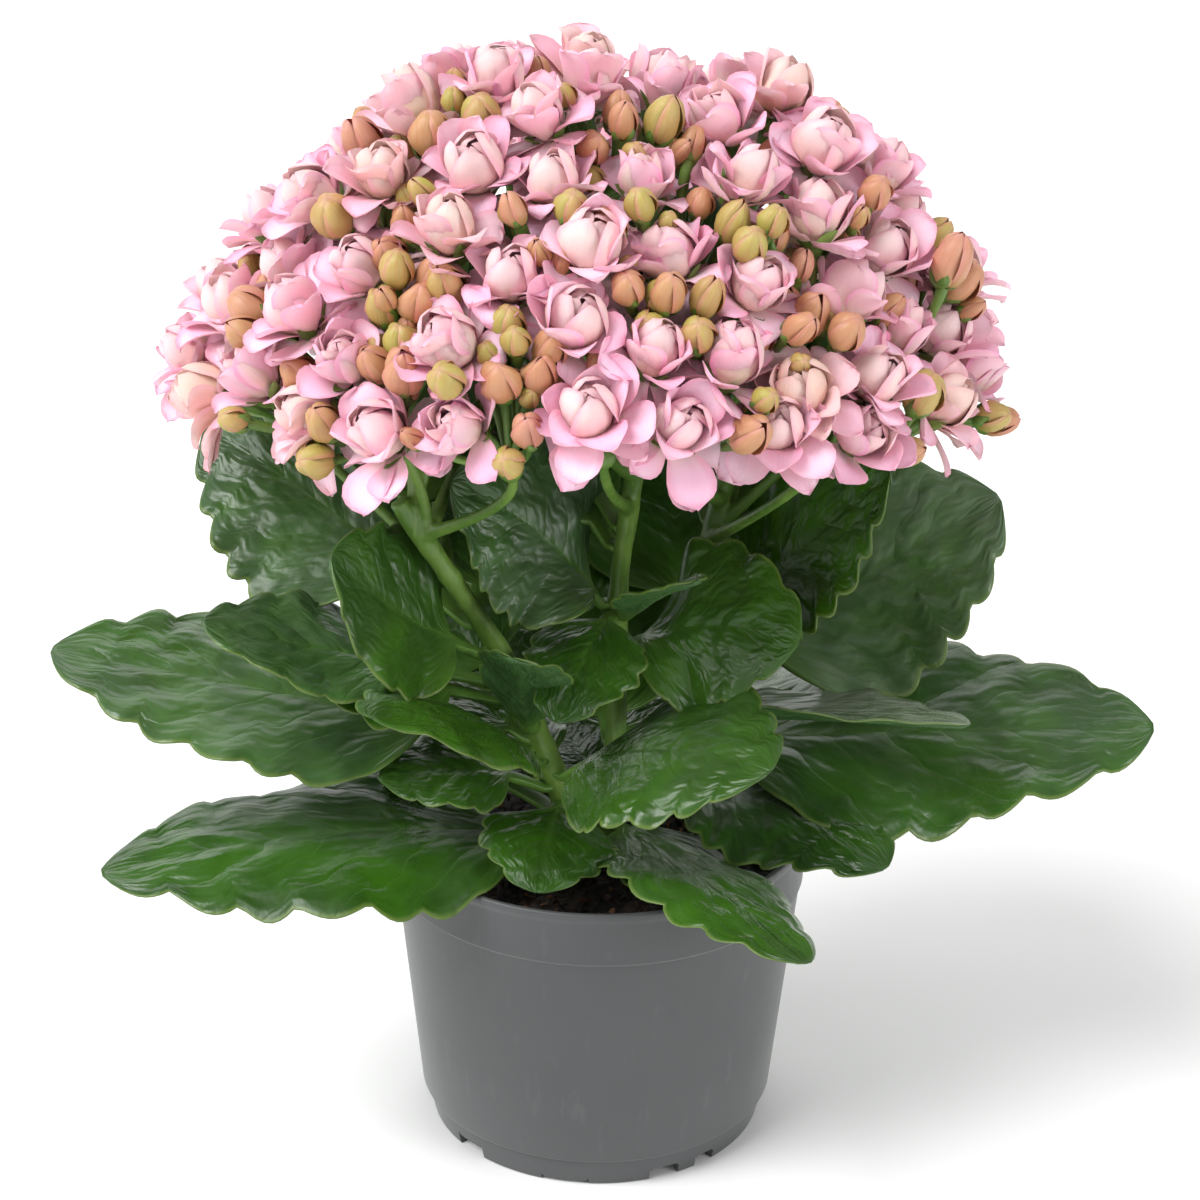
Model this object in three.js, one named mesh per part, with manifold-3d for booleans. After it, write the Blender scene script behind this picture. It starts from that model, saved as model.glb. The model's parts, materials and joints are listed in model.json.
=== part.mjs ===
// A potted kalanchoe in full double bloom: three leafy stems in a grower's pot of peat, each topped by
// cymes of pink flowers and buds. Millimetres, +Z up, origin on the table under the middle of the pot.
import * as THREE from "three";
import { mergeVertices } from "three/addons/utils/BufferGeometryUtils.js";
import Module from "manifold-3d";

const wasm = await Module();
wasm.setup();

// Driving dimensions of the pot
const POT = {
  height: 81.5,
  lipRadius: 52.5,
  footRadius: 42.6,
  footWidth: 2.6,
  ledgeHeight: 8.5,
  ledgeRadius: 45.3,
  bandHeight: 14,
  bandRadius: 51.9,
  bandProud: 0.6,
  wall: 1.4,
  floorHeight: 4,
  sides: 32,
};
// Gaps in the foot ring: direction in degrees, width, height
const NOTCHES = [
  [-137, 9, 3.4],
  [-100, 12, 1],
  [-66, 8, 3.4],
  [-50, 6, 3.4],
  [43, 9, 3.4],
  [90, 12, 3.4],
  [137, 9, 3.4],
  [180, 9, 3.4],
];
const DRAIN = { count: 6, radius: 3, ringRadius: 27, sides: 8 };
const SOIL = { level: 74, crown: 1.6, crumb: 0.9, sides: 18, ringShares: [0.74, 0.4], seed: 11 };
const GAP = 0.35; // clear space between neighbouring pieces
const TRIM = 0.8; // how far a piece is cut back from a neighbour that it would meet
const FINENESS = 0.2; // detail smaller than this is left out of a trimmed piece

// Driving dimensions of the plant
const STEM = {
  foot: 60,
  top: 190,
  baseRadius: 3.3,
  topRadius: 2.2,
  sides: 8,
  branchRadius: 1.35,
  branchSides: 4,
  branchSteps: 2,
  branchBend: 14,
};
const LEAF = {
  blade: 1,
  rib: 2.2,
  petiole: 2,
  nodeGap: 0.5,
  fullness: 0.72,
  roundness: 0.7,
  lobeDepth: 0.13,
  lobeMean: 0.6,
  pointsPerLobe: 3,
  stalkSteps: 2,
  rollShare: 0.35,
  wave: 0.07,
  waves: 2.2,
};
const HEAD = {
  flowerRoom: 9.6, // half the room that a flower keeps to itself
  budRoom: 4.3,
  spacing: 9,
  sunk: 0.07, // the share of the dome's size by which a head may stand lower
  sight: 36, // how far apart two heads no longer touch
  rounds: 80,
  push: 0.3, // the share of an overlap that one round takes out at each side
  lean: 0.012,
  seed: 5,
  hubDepth: 23,
  hubRadius: 3.2,
  hubSides: 5,
  rootRadius: 0.6,
  pedicelRadius: 0.95,
  pedicelSides: 3,
};
const FLOWER = {
  petals: 4, // in each tier
  footHeight: -4.5,
  least: 1.6,
  flutter: 0.9,
  variety: 0.08,
  outer: {
    height: -0.5,
    radius: 14.6,
    valleyHeight: 0.4,
    valleyRadius: 10.6,
    corners: [-0.075, 0.075],
  },
  floor: { height: 1.8, radius: 6 },
  inner: { height: 4.2, radius: 10.4 },
  heart: { height: 4.6, radius: 4.6, tip: 10.5 },
};
const BUD = {
  sides: 4,
  foot: -6,
  lowHeight: -2.4,
  lowRadius: 3.6,
  highHeight: 2,
  highRadius: 4.6,
  tip: 7.2,
  smallest: 0.6,
};
const DOME = { middle: new THREE.Vector3(-9, -2, 168), half: new THREE.Vector3(90, 78, 102) };
const SKIRT = { height: 196, slope: -0.2, uneven: 7 }; // the lowest that a head stands: lower to the back
const AIM = new THREE.Vector3(0, 0, 118); // every flower looks away from this point
const GOLDEN_ANGLE = Math.PI * (3 - Math.sqrt(5));

// Each stem's axis, from its foot in the peat to where its last branches part
const STEMS = {
  left: [[-6, -14, 60], [-9, -15, 95], [-21, -20, 130], [-37, -29, 160], [-47, -34, 178]],
  centre: [[2, -6, 60], [4, -8, 110], [4, -10, 150], [9, -14, 190]],
  right: [[11, 8, 60], [16, 8, 100], [26, 10, 150], [34, 12, 186]],
};

// Leaves: name, stem, height of the node on it, tip, arch, sweep, width, roll in degrees, cup,
// share of the stalk, lobes along each edge
const LEAVES = [
  ["far_left", "left", 108, [-132, -14, 131], 5, -4, 56, 18, 0.02, 0.22, 6],
  ["front_left", "left", 84, [-117, -46, 88], 13, -2, 60, 8, -0.14, 0.08, 6],
  ["far_right", "right", 100, [134, -16, 115], 4, 6, 62, -24, -0.05, 0.14, 6],
  ["high_right", "right", 114, [99, 24, 159], 2, 0, 62, -42, 0.05, 0.22, 6],
  ["high_left", "left", 143, [-98, 22, 176], 4, 0, 54, 44, 0.1, 0.24, 6],
  ["front_right", "left", 102, [38, -64, 125], 14, 0, 52, -24, -0.12, 0.12, 6],
  ["front_low", "centre", 84, [47, -84, 88], 10, 4, 36, 8, -0.15, 0.05, 6],
  ["low_right", "right", 90, [68, -43, 90], 11, 0, 42, -10, -0.1, 0.15, 6],
  ["upper_mid", "centre", 144, [-35, -24, 178], 8, 0, 46, 62, 0.02, 0.08, 6],
  ["small_left", "left", 127, [-91, -41, 150], 0, 0, 34, 20, 0, 0.35, 4],
  ["folded_right", "centre", 134, [46, -32, 143], 8, 0, 42, -58, -0.1, 0.08, 4],
  ["tall_right", "right", 122, [66, -20, 181], 6, -8, 46, -60, 0.1, 0.24, 6],
  ["narrow_right", "right", 108, [85, -44, 128], 2, 0, 26, 6, 0.25, 0.1, 4],
  ["dark_left", "left", 136, [-60, -50, 170], -4, 0, 42, 56, 0.1, 0.2, 4],
  ["front_mid_left", "left", 106, [-50, -72, 141], 12, 0, 40, 12, -0.2, 0.15, 4],
  ["low_left", "left", 122, [-72, -37, 137], 2, 0, 30, 20, -0.1, 0.28, 4],
  ["inner_left", "left", 124, [-58, 16, 148], 2, 0, 48, 44, 0.05, 0.15, 4],
  ["curled", "left", 116, [-20, -50, 146], 5, 0, 22, 10, 0.3, 0.1, 4],
  ["edge_on", "centre", 142, [21, -52, 166], 3, 0, 18, -8, 0.1, 0.1, 4],
  ["dark_right", "right", 142, [58, 46, 172], 4, 0, 40, -30, 0.1, 0.2, 4],
  ["round_low", "left", 94, [-14, -50, 86], 7, 0, 32, 6, -0.15, 0.1, 4],
  ["shaded_low", "centre", 79, [38, -60, 82], 7, 0, 26, 0, -0.1, 0.1, 4],
  ["inner_mid", "centre", 142, [-10, -44, 127], 6, 0, 28, 10, -0.1, 0.1, 4],
  ["inner_right", "centre", 104, [-8, 36, 150], -2, 0, 52, 0, 0.05, 0.1, 4],
  ["under_front", "left", 98, [-52, -36, 108], 8, 0, 28, 16, -0.1, 0.25, 4],
  ["low_back", "centre", 84, [-26, 42, 96], 4, 0, 38, 6, 0.1, 0.2, 4],
  ["under_left", "left", 90, [-62, 22, 94], 6, 0, 40, 10, 0.1, 0.3, 4],
  ["inner_back", "right", 128, [16, 60, 166], 2, 0, 54, 0, 0.05, 0.15, 4],
  ["back_left", "left", 99, [-102, 54, 110], 10, 0, 54, -14, 0.05, 0.3, 6],
  ["back", "centre", 98, [2, 85.5, 103], 12, 0, 56, 0, -0.05, 0.3, 6],
  ["back_right", "right", 94, [82, 72, 106], 10, 0, 50, 14, 0.05, 0.3, 6],
  ["back_high", "right", 156, [10, 68, 190], 4, 0, 42, 0, 0.1, 0.3, 4],
  ["back_high_right", "right", 160, [80, 54, 192], 4, 0, 34, 0, 0.1, 0.3, 4],
  ["back_high_left", "centre", 163, [-36, 60, 198], 4, 0, 34, 0, 0.1, 0.35, 4],
];

// Cymes: name, stem, height of the fork on it, crown of the cyme, flowers, buds, first turn in degrees
const CYMES = [
  ["a", "left", 157, [-94, -7, 203], 4, 3, 0],
  ["b", "left", 164, [-58, -52, 214], 5, 3, 40],
  ["c", "left", 170, [-61, -26, 245], 4, 3, 80],
  ["d", "left", 172, [-39, -18, 262], 4, 2, 10],
  ["e", "centre", 184, [-1, -14, 266], 3, 5, 120],
  ["f", "centre", 180, [-12, -44, 250], 3, 1, 200],
  ["g", "centre", 176, [-18, -58, 235], 4, 6, 60],
  ["h", "left", 168, [-25, -70, 211], 3, 4, 15],
  ["i", "centre", 168, [0, -70, 215], 3, 3, 90],
  ["j", "right", 162, [25, -62, 217], 4, 5, 75],
  ["k", "centre", 180, [19, -47, 243], 2, 7, 20],
  ["l", "right", 180, [38, -8, 263], 4, 2, 30],
  ["m", "right", 176, [61, -12, 247], 3, 2, 260],
  ["n", "right", 168, [50, -44, 228], 3, 2, 300],
  ["o", "right", 152, [61, -48, 206], 4, 4, 150],
  ["p", "right", 154, [84, -4, 222], 3, 4, 45],
  ["q", "left", 156, [-67, 36, 222], 5, 4, 45],
  ["r", "left", 166, [-30, 54, 236], 5, 3, 100],
  ["s", "centre", 168, [12, 66, 222], 5, 4, 190],
  ["t", "right", 166, [48, 52, 226], 5, 4, 280],
  ["u", "centre", 182, [2, 24, 260], 4, 3, 320],
];

const FINISH = {
  pot: { color: 0x7c7f80, roughness: 0.5 },
  soil: { color: 0x2b1c14, roughness: 1 },
  stem: { color: 0x5d7d2c, roughness: 0.5 },
  leaf: { color: 0x2c4f26, roughness: 0.3 },
  flower: { color: 0xe8a6c2, roughness: 0.6 },
};

const { degToRad, lerp, mapLinear } = THREE.MathUtils;
const vector = (list) => new THREE.Vector3(...list);
const mix = (a, b, share) => a.clone().lerp(b, share);

// A repeatable draw between 0 and 1
function draws(seed) {
  const MULTIPLIER = 16807;
  const MODULUS = 2147483647;
  let state = seed;
  return () => {
    state = (state * MULTIPLIER) % MODULUS;
    return state / MODULUS;
  };
}

// A solid from shared points and triangles, turned outwards
function solidOf(points, faces) {
  const build = (triangles) =>
    new wasm.Manifold(
      new wasm.Mesh({
        numProp: 3,
        vertProperties: new Float32Array(points.flatMap((p) => [p.x, p.y, p.z])),
        triVerts: new Uint32Array(triangles.filter((face) => new Set(face).size === 3).flat()),
      }),
    );
  const solid = build(faces);
  return solid.volume() > 0 ? solid : build(faces.map(([a, b, c]) => [a, c, b]));
}

// A closed skin over rings of points. A ring is a list of [turn, point]; a ring of one point is an end.
function skin(rings) {
  const points = rings.flat().map(([, point]) => point);
  const faces = [];
  let start = 0;
  const turnAfter = (ring, i) => (i + 1 < ring.length ? ring[i + 1][0] : ring[0][0] + 1);
  const edges = (ring) => (ring.length > 1 ? ring.length : 0);
  rings.slice(0, -1).forEach((ring, k) => {
    const next = rings[k + 1];
    const nextStart = start + ring.length;
    let i = 0;
    let j = 0;
    while (i < edges(ring) || j < edges(next)) {
      const here = start + (i % ring.length);
      const there = nextStart + (j % next.length);
      const onRing = j >= edges(next) || (i < edges(ring) && turnAfter(ring, i) <= turnAfter(next, j));
      if (onRing) {
        i += 1;
        faces.push([here, start + (i % ring.length), there]);
      } else {
        j += 1;
        faces.push([here, nextStart + (j % next.length), there]);
      }
    }
    start = nextStart;
  });
  const close = (first, count, flip) => {
    for (let i = 1; i + 1 < count; i += 1)
      faces.push(flip ? [first, first + i + 1, first + i] : [first, first + i, first + i + 1]);
  };
  close(0, rings[0].length, true);
  close(start, rings.at(-1).length, false);
  return solidOf(points, faces);
}

// A tube through stations, each with its own radius
function tube(stations, radii, sides) {
  const last = stations.length - 1;
  let side = null;
  const rings = stations.map((station, s) => {
    const along = stations[Math.min(s + 1, last)].clone().sub(stations[Math.max(s - 1, 0)]).normalize();
    side = side ? side.addScaledVector(along, -along.dot(side)).normalize() : across(along)[0];
    const up = new THREE.Vector3().crossVectors(along, side);
    return Array.from({ length: sides }, (_, k) => {
      const turn = k / sides;
      const point = station
        .clone()
        .addScaledVector(side, radii[s] * Math.cos(2 * Math.PI * turn))
        .addScaledVector(up, radii[s] * Math.sin(2 * Math.PI * turn));
      return [turn, point];
    });
  });
  return skin(rings);
}

// A ring about an axis, at a height along it, with its radii spread evenly round the turn
function ring(origin, axis, height, radii, phase = 0) {
  const [side, up] = across(axis);
  return radii.map((radius, k) => {
    const turn = k / radii.length + phase;
    const point = origin
      .clone()
      .addScaledVector(axis, height)
      .addScaledVector(side, radius * Math.cos(2 * Math.PI * turn))
      .addScaledVector(up, radius * Math.sin(2 * Math.PI * turn));
    return [turn, point];
  });
}

// Two directions square to an axis
function across(axis) {
  const side = new THREE.Vector3(-axis.y, axis.x, 0);
  if (side.lengthSq() < 1e-6) side.set(1, 0, 0);
  side.normalize();
  return [side, new THREE.Vector3().crossVectors(axis, side).normalize()];
}

// A solid from a closed three.js geometry
function solidFrom(geometry) {
  const bare = geometry.clone();
  bare.deleteAttribute("normal");
  bare.deleteAttribute("uv");
  const merged = mergeVertices(bare, 1e-3);
  const { position } = merged.attributes;
  const points = Array.from({ length: position.count }, (_, i) =>
    new THREE.Vector3().fromBufferAttribute(position, i),
  );
  const faces = [];
  for (let i = 0; i < merged.index.count; i += 3)
    faces.push([0, 1, 2].map((corner) => merged.index.getX(i + corner)));
  return solidOf(points, faces);
}

// A solid pushed out by a distance along its corners' normals
function grown(solid, distance) {
  const mesh = solid.getMesh();
  const geometry = new THREE.BufferGeometry();
  geometry.setAttribute("position", new THREE.BufferAttribute(mesh.vertProperties, 3));
  geometry.setIndex(new THREE.BufferAttribute(mesh.triVerts, 1));
  geometry.computeVertexNormals();
  const { position, normal } = geometry.attributes;
  const points = Array.from({ length: position.count }, (_, i) =>
    new THREE.Vector3()
      .fromBufferAttribute(position, i)
      .addScaledVector(new THREE.Vector3().fromBufferAttribute(normal, i), distance),
  );
  const faces = [];
  for (let i = 0; i < mesh.triVerts.length; i += 3) faces.push([...mesh.triVerts.slice(i, i + 3)]);
  return solidOf(points, faces);
}

// A solid kept clear of its neighbours by trimming it where they would meet
function clearOf(solid, neighbours) {
  return neighbours.reduce((kept, neighbour) => {
    if (kept.intersect(grown(neighbour, GAP / 2)).isEmpty()) return kept;
    return largest(kept.subtract(grown(neighbour, TRIM)).simplify(FINENESS));
  }, solid);
}

const largest = (solid) =>
  solid.decompose().reduce((best, piece) => (piece.volume() > best.volume() ? piece : best));
const union = (solids) => solids.reduce((whole, piece) => whole.add(piece));

// The point of a stem's axis at a height
function stemPoint(name, z) {
  const stations = STEMS[name].map(vector);
  const next = stations.findIndex((station) => station.z > z);
  const [a, b] = [stations[next - 1], stations[next]];
  return mix(a, b, (z - a.z) / (b.z - a.z));
}
const stemRadius = (z) => mapLinear(z, STEM.foot, STEM.top, STEM.baseRadius, STEM.topRadius);

// The pot: a tapered wall with a proud rim band, a fine ledge low down, a floor and a notched foot ring
const bandFoot = POT.height - POT.bandHeight;
const wallRadius = (z) =>
  mapLinear(z, POT.ledgeHeight, bandFoot, POT.ledgeRadius, POT.bandRadius - POT.bandProud);
const innerRadius = (z) => wallRadius(z) - POT.wall;

function potSolid() {
  const LIP = 1.8;
  const STEP = 0.5;
  const footInner = POT.footRadius - POT.footWidth;
  const floorTop = POT.floorHeight + POT.wall;
  const profile = [
    [0, POT.floorHeight],
    [footInner, POT.floorHeight],
    [footInner, 0],
    [POT.footRadius, 0],
    [POT.ledgeRadius - 2 * STEP, POT.ledgeHeight - STEP],
    [POT.ledgeRadius, POT.ledgeHeight],
    [wallRadius(bandFoot), bandFoot],
    [POT.bandRadius, bandFoot + STEP],
    [POT.bandRadius, POT.height - 2 * LIP],
    [POT.lipRadius, POT.height - LIP],
    [POT.lipRadius, POT.height],
    [innerRadius(POT.height) - STEP, POT.height],
    [innerRadius(bandFoot), bandFoot],
    [innerRadius(floorTop), floorTop],
    [0, floorTop],
  ].map((corner) => new THREE.Vector2(...corner));
  let pot = solidFrom(new THREE.LatheGeometry(profile, POT.sides).rotateX(Math.PI / 2));
  for (const [degrees, width, height] of NOTCHES) {
    const notch = new THREE.BoxGeometry(4 * POT.footWidth, width, 2 * height)
      .translate(POT.footRadius, 0, 0)
      .rotateZ(degToRad(degrees));
    pot = pot.subtract(solidFrom(notch));
  }
  for (let k = 0; k < DRAIN.count; k += 1) {
    const hole = new THREE.CylinderGeometry(DRAIN.radius, DRAIN.radius, 4 * POT.floorHeight, DRAIN.sides)
      .rotateX(Math.PI / 2)
      .translate(DRAIN.ringRadius, 0, POT.floorHeight)
      .rotateZ((2 * Math.PI * k) / DRAIN.count);
    pot = pot.subtract(solidFrom(hole));
  }
  return pot;
}

// The peat: fills the pot to below its rim, crumbly on top, with a plain hole for each stem
function soilSolid() {
  const draw = draws(SOIL.seed);
  const axis = new THREE.Vector3(0, 0, 1);
  const floor = POT.floorHeight + POT.wall + GAP;
  const inscribed = Math.cos(Math.PI / POT.sides);
  const disc = (z, radius) => ring(new THREE.Vector3(), axis, z, Array(SOIL.sides).fill(radius));
  const rimRadius = (innerRadius(SOIL.level) - GAP) * inscribed;
  const rings = [
    disc(floor, (innerRadius(floor) - GAP) * inscribed),
    disc(SOIL.level - SOIL.crown, rimRadius - GAP),
  ];
  for (const share of SOIL.ringShares) {
    const crumbs = disc(SOIL.level, rimRadius * share);
    crumbs.forEach(([, point]) => point.setZ(point.z + SOIL.crumb * (2 * draw() - 1)));
    rings.push(crumbs);
  }
  rings.push([[0, new THREE.Vector3(0, 0, SOIL.level)]]);
  let soil = skin(rings);
  for (const name of Object.keys(STEMS)) {
    const foot = stemPoint(name, STEM.foot + GAP);
    const above = stemPoint(name, SOIL.level + 2 * SOIL.crown);
    const below = foot.clone().sub(above).setLength(3 * GAP).add(foot);
    const reach = STEM.baseRadius + 2 * GAP;
    soil = soil.subtract(tube([below, above], [reach, reach], STEM.sides));
  }
  return soil;
}

// The stalk that meets a cyme from below: where it ends, and which way
function cymeStand([, , , crown]) {
  const top = vector(crown);
  const axis = top.clone().sub(AIM).normalize();
  return { top, axis, hub: top.clone().addScaledVector(axis, -HEAD.hubDepth) };
}

// A stem with a branch to each of its cymes
function stemSolid(name) {
  const stations = STEMS[name].map(vector);
  const main = tube(stations, stations.map((station) => stemRadius(station.z)), STEM.sides);
  const branches = CYMES.filter((cyme) => cyme[1] === name).map((cyme) => {
    const { axis, hub } = cymeStand(cyme);
    const end = hub.clone().addScaledVector(axis, -HEAD.hubRadius - 2 * GAP);
    const bend = end.clone().addScaledVector(axis, -STEM.branchBend);
    const curve = new THREE.QuadraticBezierCurve3(stemPoint(name, cyme[2]), bend, end);
    const path = curve.getPoints(STEM.branchSteps);
    return tube(path, Array(path.length).fill(STEM.branchRadius), STEM.branchSides);
  });
  return union([main, ...branches]);
}

// A leaf: a stalk that widens into a blade with round lobes along both edges, arched from node to tip
function leafSolid([, stem, nodeHeight, tipPlace, arch, sweep, width, roll, cup, stalk, lobes], index) {
  const tip = vector(tipPlace);
  const node = stemPoint(stem, nodeHeight);
  const heading = Math.atan2(tip.y - node.y, tip.x - node.x);
  const level = new THREE.Vector3(Math.sin(heading), -Math.cos(heading), 0);
  const rise = Math.asin((tip.z - node.z) / tip.distanceTo(node));
  const clear = stemRadius(nodeHeight) + GAP + 0.5 * LEAF.rib * Math.abs(Math.sin(rise)) + LEAF.nodeGap;
  const outward = new THREE.Vector3(Math.cos(heading), Math.sin(heading), 0);
  const start = node.clone().addScaledVector(outward, clear);
  const chordUp = new THREE.Vector3().crossVectors(level, tip.clone().sub(start).normalize());
  const bend = mix(start, tip, 0.5).addScaledVector(chordUp, arch).addScaledVector(level, sweep);
  const rib = new THREE.QuadraticBezierCurve3(start, bend, tip);

  const edgeSteps = LEAF.stalkSteps + LEAF.pointsPerLobe * lobes;
  const share = (step) =>
    step < LEAF.stalkSteps
      ? (stalk * step) / LEAF.stalkSteps
      : lerp(stalk, 1, (step - LEAF.stalkSteps) / (edgeSteps - LEAF.stalkSteps));
  const frame = (s) => {
    const along = rib.getTangent(s);
    const side = level.clone().addScaledVector(along, -along.dot(level)).normalize();
    const normal = new THREE.Vector3().crossVectors(side, along);
    const turn = degToRad(roll) * Math.min(1, s / LEAF.rollShare);
    return {
      middle: rib.getPoint(s),
      side: side.clone().multiplyScalar(Math.cos(turn)).addScaledVector(normal, Math.sin(turn)),
      normal: normal.clone().multiplyScalar(Math.cos(turn)).addScaledVector(side, -Math.sin(turn)),
    };
  };
  const halfWidth = (s) => {
    const u = (s - stalk) / (1 - stalk);
    if (u <= 0) return LEAF.petiole;
    const outline = Math.sin(Math.PI * u ** LEAF.fullness) ** LEAF.roundness;
    const lobe = 1 + LEAF.lobeDepth * (Math.abs(Math.sin(Math.PI * lobes * u)) - LEAF.lobeMean);
    return Math.max(LEAF.petiole * (1 - u), 0.5 * width * outline * lobe);
  };

  const top = [];
  const bottom = [];
  const put = (s, across, thickness) => {
    const { middle, side, normal } = frame(s);
    const half = halfWidth(s);
    const wave = LEAF.wave * Math.sin(2 * Math.PI * LEAF.waves * s + index + (across > 0 ? 2 : 0));
    const lift = half * across * across * (cup + wave);
    const point = middle.addScaledVector(side, half * across).addScaledVector(normal, lift);
    top.push(point);
    bottom.push(point.clone().addScaledVector(normal, -thickness));
    return top.length - 1;
  };
  const end = put(1, 0, LEAF.blade);
  const lines = [-1, 0, 1].map((across) => {
    const stride = across === 0 ? 2 : 1;
    const line = [];
    for (let step = 0; step < edgeSteps; step += stride) {
      const s = share(step);
      const thinned = across === 0 ? s : Math.min(1, s / LEAF.rollShare);
      line.push(put(s, across, lerp(LEAF.rib, LEAF.blade, thinned)));
    }
    return [...line, end];
  });

  const [leftEdge, midrib, rightEdge] = lines;
  const surface = [];
  for (let j = 0; j < edgeSteps / 2; j += 1) {
    const [m, n] = midrib.slice(j, j + 2);
    const [a, b, c] = leftEdge.slice(2 * j, 2 * j + 3);
    const [d, e, f] = rightEdge.slice(2 * j, 2 * j + 3);
    surface.push([a, b, m], [b, n, m], [b, c, n]);
    surface.push([m, e, d], [m, n, e], [n, f, e]);
  }
  const under = top.length;
  const border = [...leftEdge, ...rightEdge.slice(0, -1).reverse(), midrib[0]];
  const walls = border.flatMap((a, i) => {
    const b = border[(i + 1) % border.length];
    return [[b, a, a + under], [b, a + under, b + under]];
  });
  const faces = [
    ...surface,
    ...surface.map(([a, b, c]) => [a + under, c + under, b + under]),
    ...walls,
  ];
  return solidOf([...top, ...bottom], faces);
}

// Where the flowers and buds stand: wound out from each cyme's crown, then pushed apart over the dome,
// each on the hub of the crown that it ended nearest to
function standHeads() {
  const heads = CYMES.flatMap((cyme) => {
    const [, , , , flowers, buds, firstTurn] = cyme;
    const { top, axis } = cymeStand(cyme);
    const [side, up] = across(axis);
    const count = flowers + buds;
    return Array.from({ length: count }, (_, k) => {
      const isFlower = Math.ceil(((k + 1) * flowers) / count) > Math.ceil((k * flowers) / count);
      const reach = HEAD.spacing * Math.sqrt(k);
      const turn = degToRad(firstTurn) + k * GOLDEN_ANGLE;
      const place = top
        .clone()
        .addScaledVector(side, reach * Math.cos(turn))
        .addScaledVector(up, reach * Math.sin(turn));
      return { top, place, isFlower, room: isFlower ? HEAD.flowerRoom : HEAD.budRoom };
    });
  });
  const shell = (place) => place.clone().sub(DOME.middle).divide(DOME.half).length();
  const draw = draws(HEAD.seed);
  heads.forEach((head) => {
    head.shell = shell(head.top) * (1 - HEAD.sunk * draw());
    head.lowest = SKIRT.height + SKIRT.uneven * (2 * draw() - 1);
    head.spin = draw();
  });
  for (let round = 0; round < HEAD.rounds; round += 1) {
    heads.forEach((a, i) =>
      heads.slice(i + 1).forEach((b) => {
        const apart = b.place.clone().sub(a.place);
        const short = a.room + b.room - apart.length();
        if (short <= 0) return;
        apart.setLength(HEAD.push * short);
        a.place.sub(apart);
        b.place.add(apart);
      }),
    );
    heads.forEach((head) => {
      const { place } = head;
      const stretch = head.shell / shell(place);
      place.sub(DOME.middle).multiplyScalar(stretch).add(DOME.middle);
      place.setZ(Math.max(place.z, head.lowest + SKIRT.slope * place.y));
    });
  }
  const stands = CYMES.map((cyme) => ({ name: cyme[0], ...cymeStand(cyme) }));
  heads.forEach((head) => {
    const nearest = stands.reduce((best, stand) =>
      stand.top.distanceTo(head.place) < best.top.distanceTo(head.place) ? stand : best,
    );
    const outward = head.place.clone().sub(AIM).normalize();
    const spread = head.place.clone().sub(nearest.top).multiplyScalar(HEAD.lean);
    Object.assign(head, { name: nearest.name, hub: nearest.hub, axis: outward.add(spread).normalize() });
  });
  return heads;
}

// How far a point may go from a head's axis before it enters a neighbour's room
function reachOf(head, heads) {
  const walls = heads
    .filter((other) => other !== head && other.place.distanceTo(head.place) < HEAD.sight)
    .map((other) => {
      const away = other.place.clone().sub(head.place);
      const distance = away.length();
      const share = (distance ** 2 + head.room ** 2 - other.room ** 2) / (2 * distance);
      return { away: away.normalize(), limit: share - GAP / 2 };
    });
  return (height, direction, wanted) => {
    const onAxis = head.axis.clone().multiplyScalar(height);
    return walls.reduce((reach, { away, limit }) => {
      const slope = direction.dot(away);
      return slope > 1e-3 ? Math.min(reach, (limit - onAxis.dot(away)) / slope) : reach;
    }, wanted);
  };
}

// A ring of points about a head's axis, each as far out as wanted or as its neighbours allow
function headRing(head, reach, corners) {
  const [side, up] = across(head.axis);
  return corners.map(([turn, height, wanted]) => {
    const angle = 2 * Math.PI * (turn + head.spin);
    const direction = side.clone().multiplyScalar(Math.cos(angle)).addScaledVector(up, Math.sin(angle));
    const out = Math.max(FLOWER.least, reach(height, direction, wanted));
    const point = head.place.clone().addScaledVector(head.axis, height).addScaledVector(direction, out);
    return [turn, point];
  });
}

// The pedicel's two lower rings, from inside the cyme's hub to the foot of the head
function pedicelRings(head, height) {
  const foot = head.place.clone().addScaledVector(head.axis, height);
  const along = foot.clone().sub(head.hub).normalize();
  const round = (radius) => Array(HEAD.pedicelSides).fill(radius);
  return [
    ring(head.hub, along, 0, round(HEAD.rootRadius)),
    ring(foot, head.axis, 0, round(HEAD.pedicelRadius)),
  ];
}

// A double flower: a short tube, two tiers of four petals, the inner standing in the gaps of the outer,
// and a closed heart of four sides
function flowerSolid(head, reach, draw) {
  const { petals, outer, floor, inner, heart } = FLOWER;
  const uneven = (height, radius) => [
    height + FLOWER.flutter * (2 * draw() - 1),
    radius * (1 + FLOWER.variety * (2 * draw() - 1)),
  ];
  const tier = (make) => Array.from({ length: petals }, (_, k) => make(k / petals)).flat();
  const rings = [
    tier((turn) => {
      const [height, radius] = uneven(outer.height, outer.radius);
      const valley = [turn - 0.5 / petals, outer.valleyHeight, outer.valleyRadius];
      return [valley, ...outer.corners.map((offset) => [turn + offset, height, radius])];
    }),
    tier((turn) => [[turn - 0.5 / petals, floor.height, floor.radius]]),
    tier((turn) => [[turn + 0.5 / petals, ...uneven(inner.height, inner.radius)]]),
    tier((turn) => [[turn + 1 / petals, heart.height, heart.radius]]),
  ].map((corners) => headRing(head, reach, corners));
  const point = head.place.clone().addScaledVector(head.axis, FLOWER.heart.tip);
  return skin([...pedicelRings(head, FLOWER.footHeight), ...rings, [[0, point]]]);
}

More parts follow.
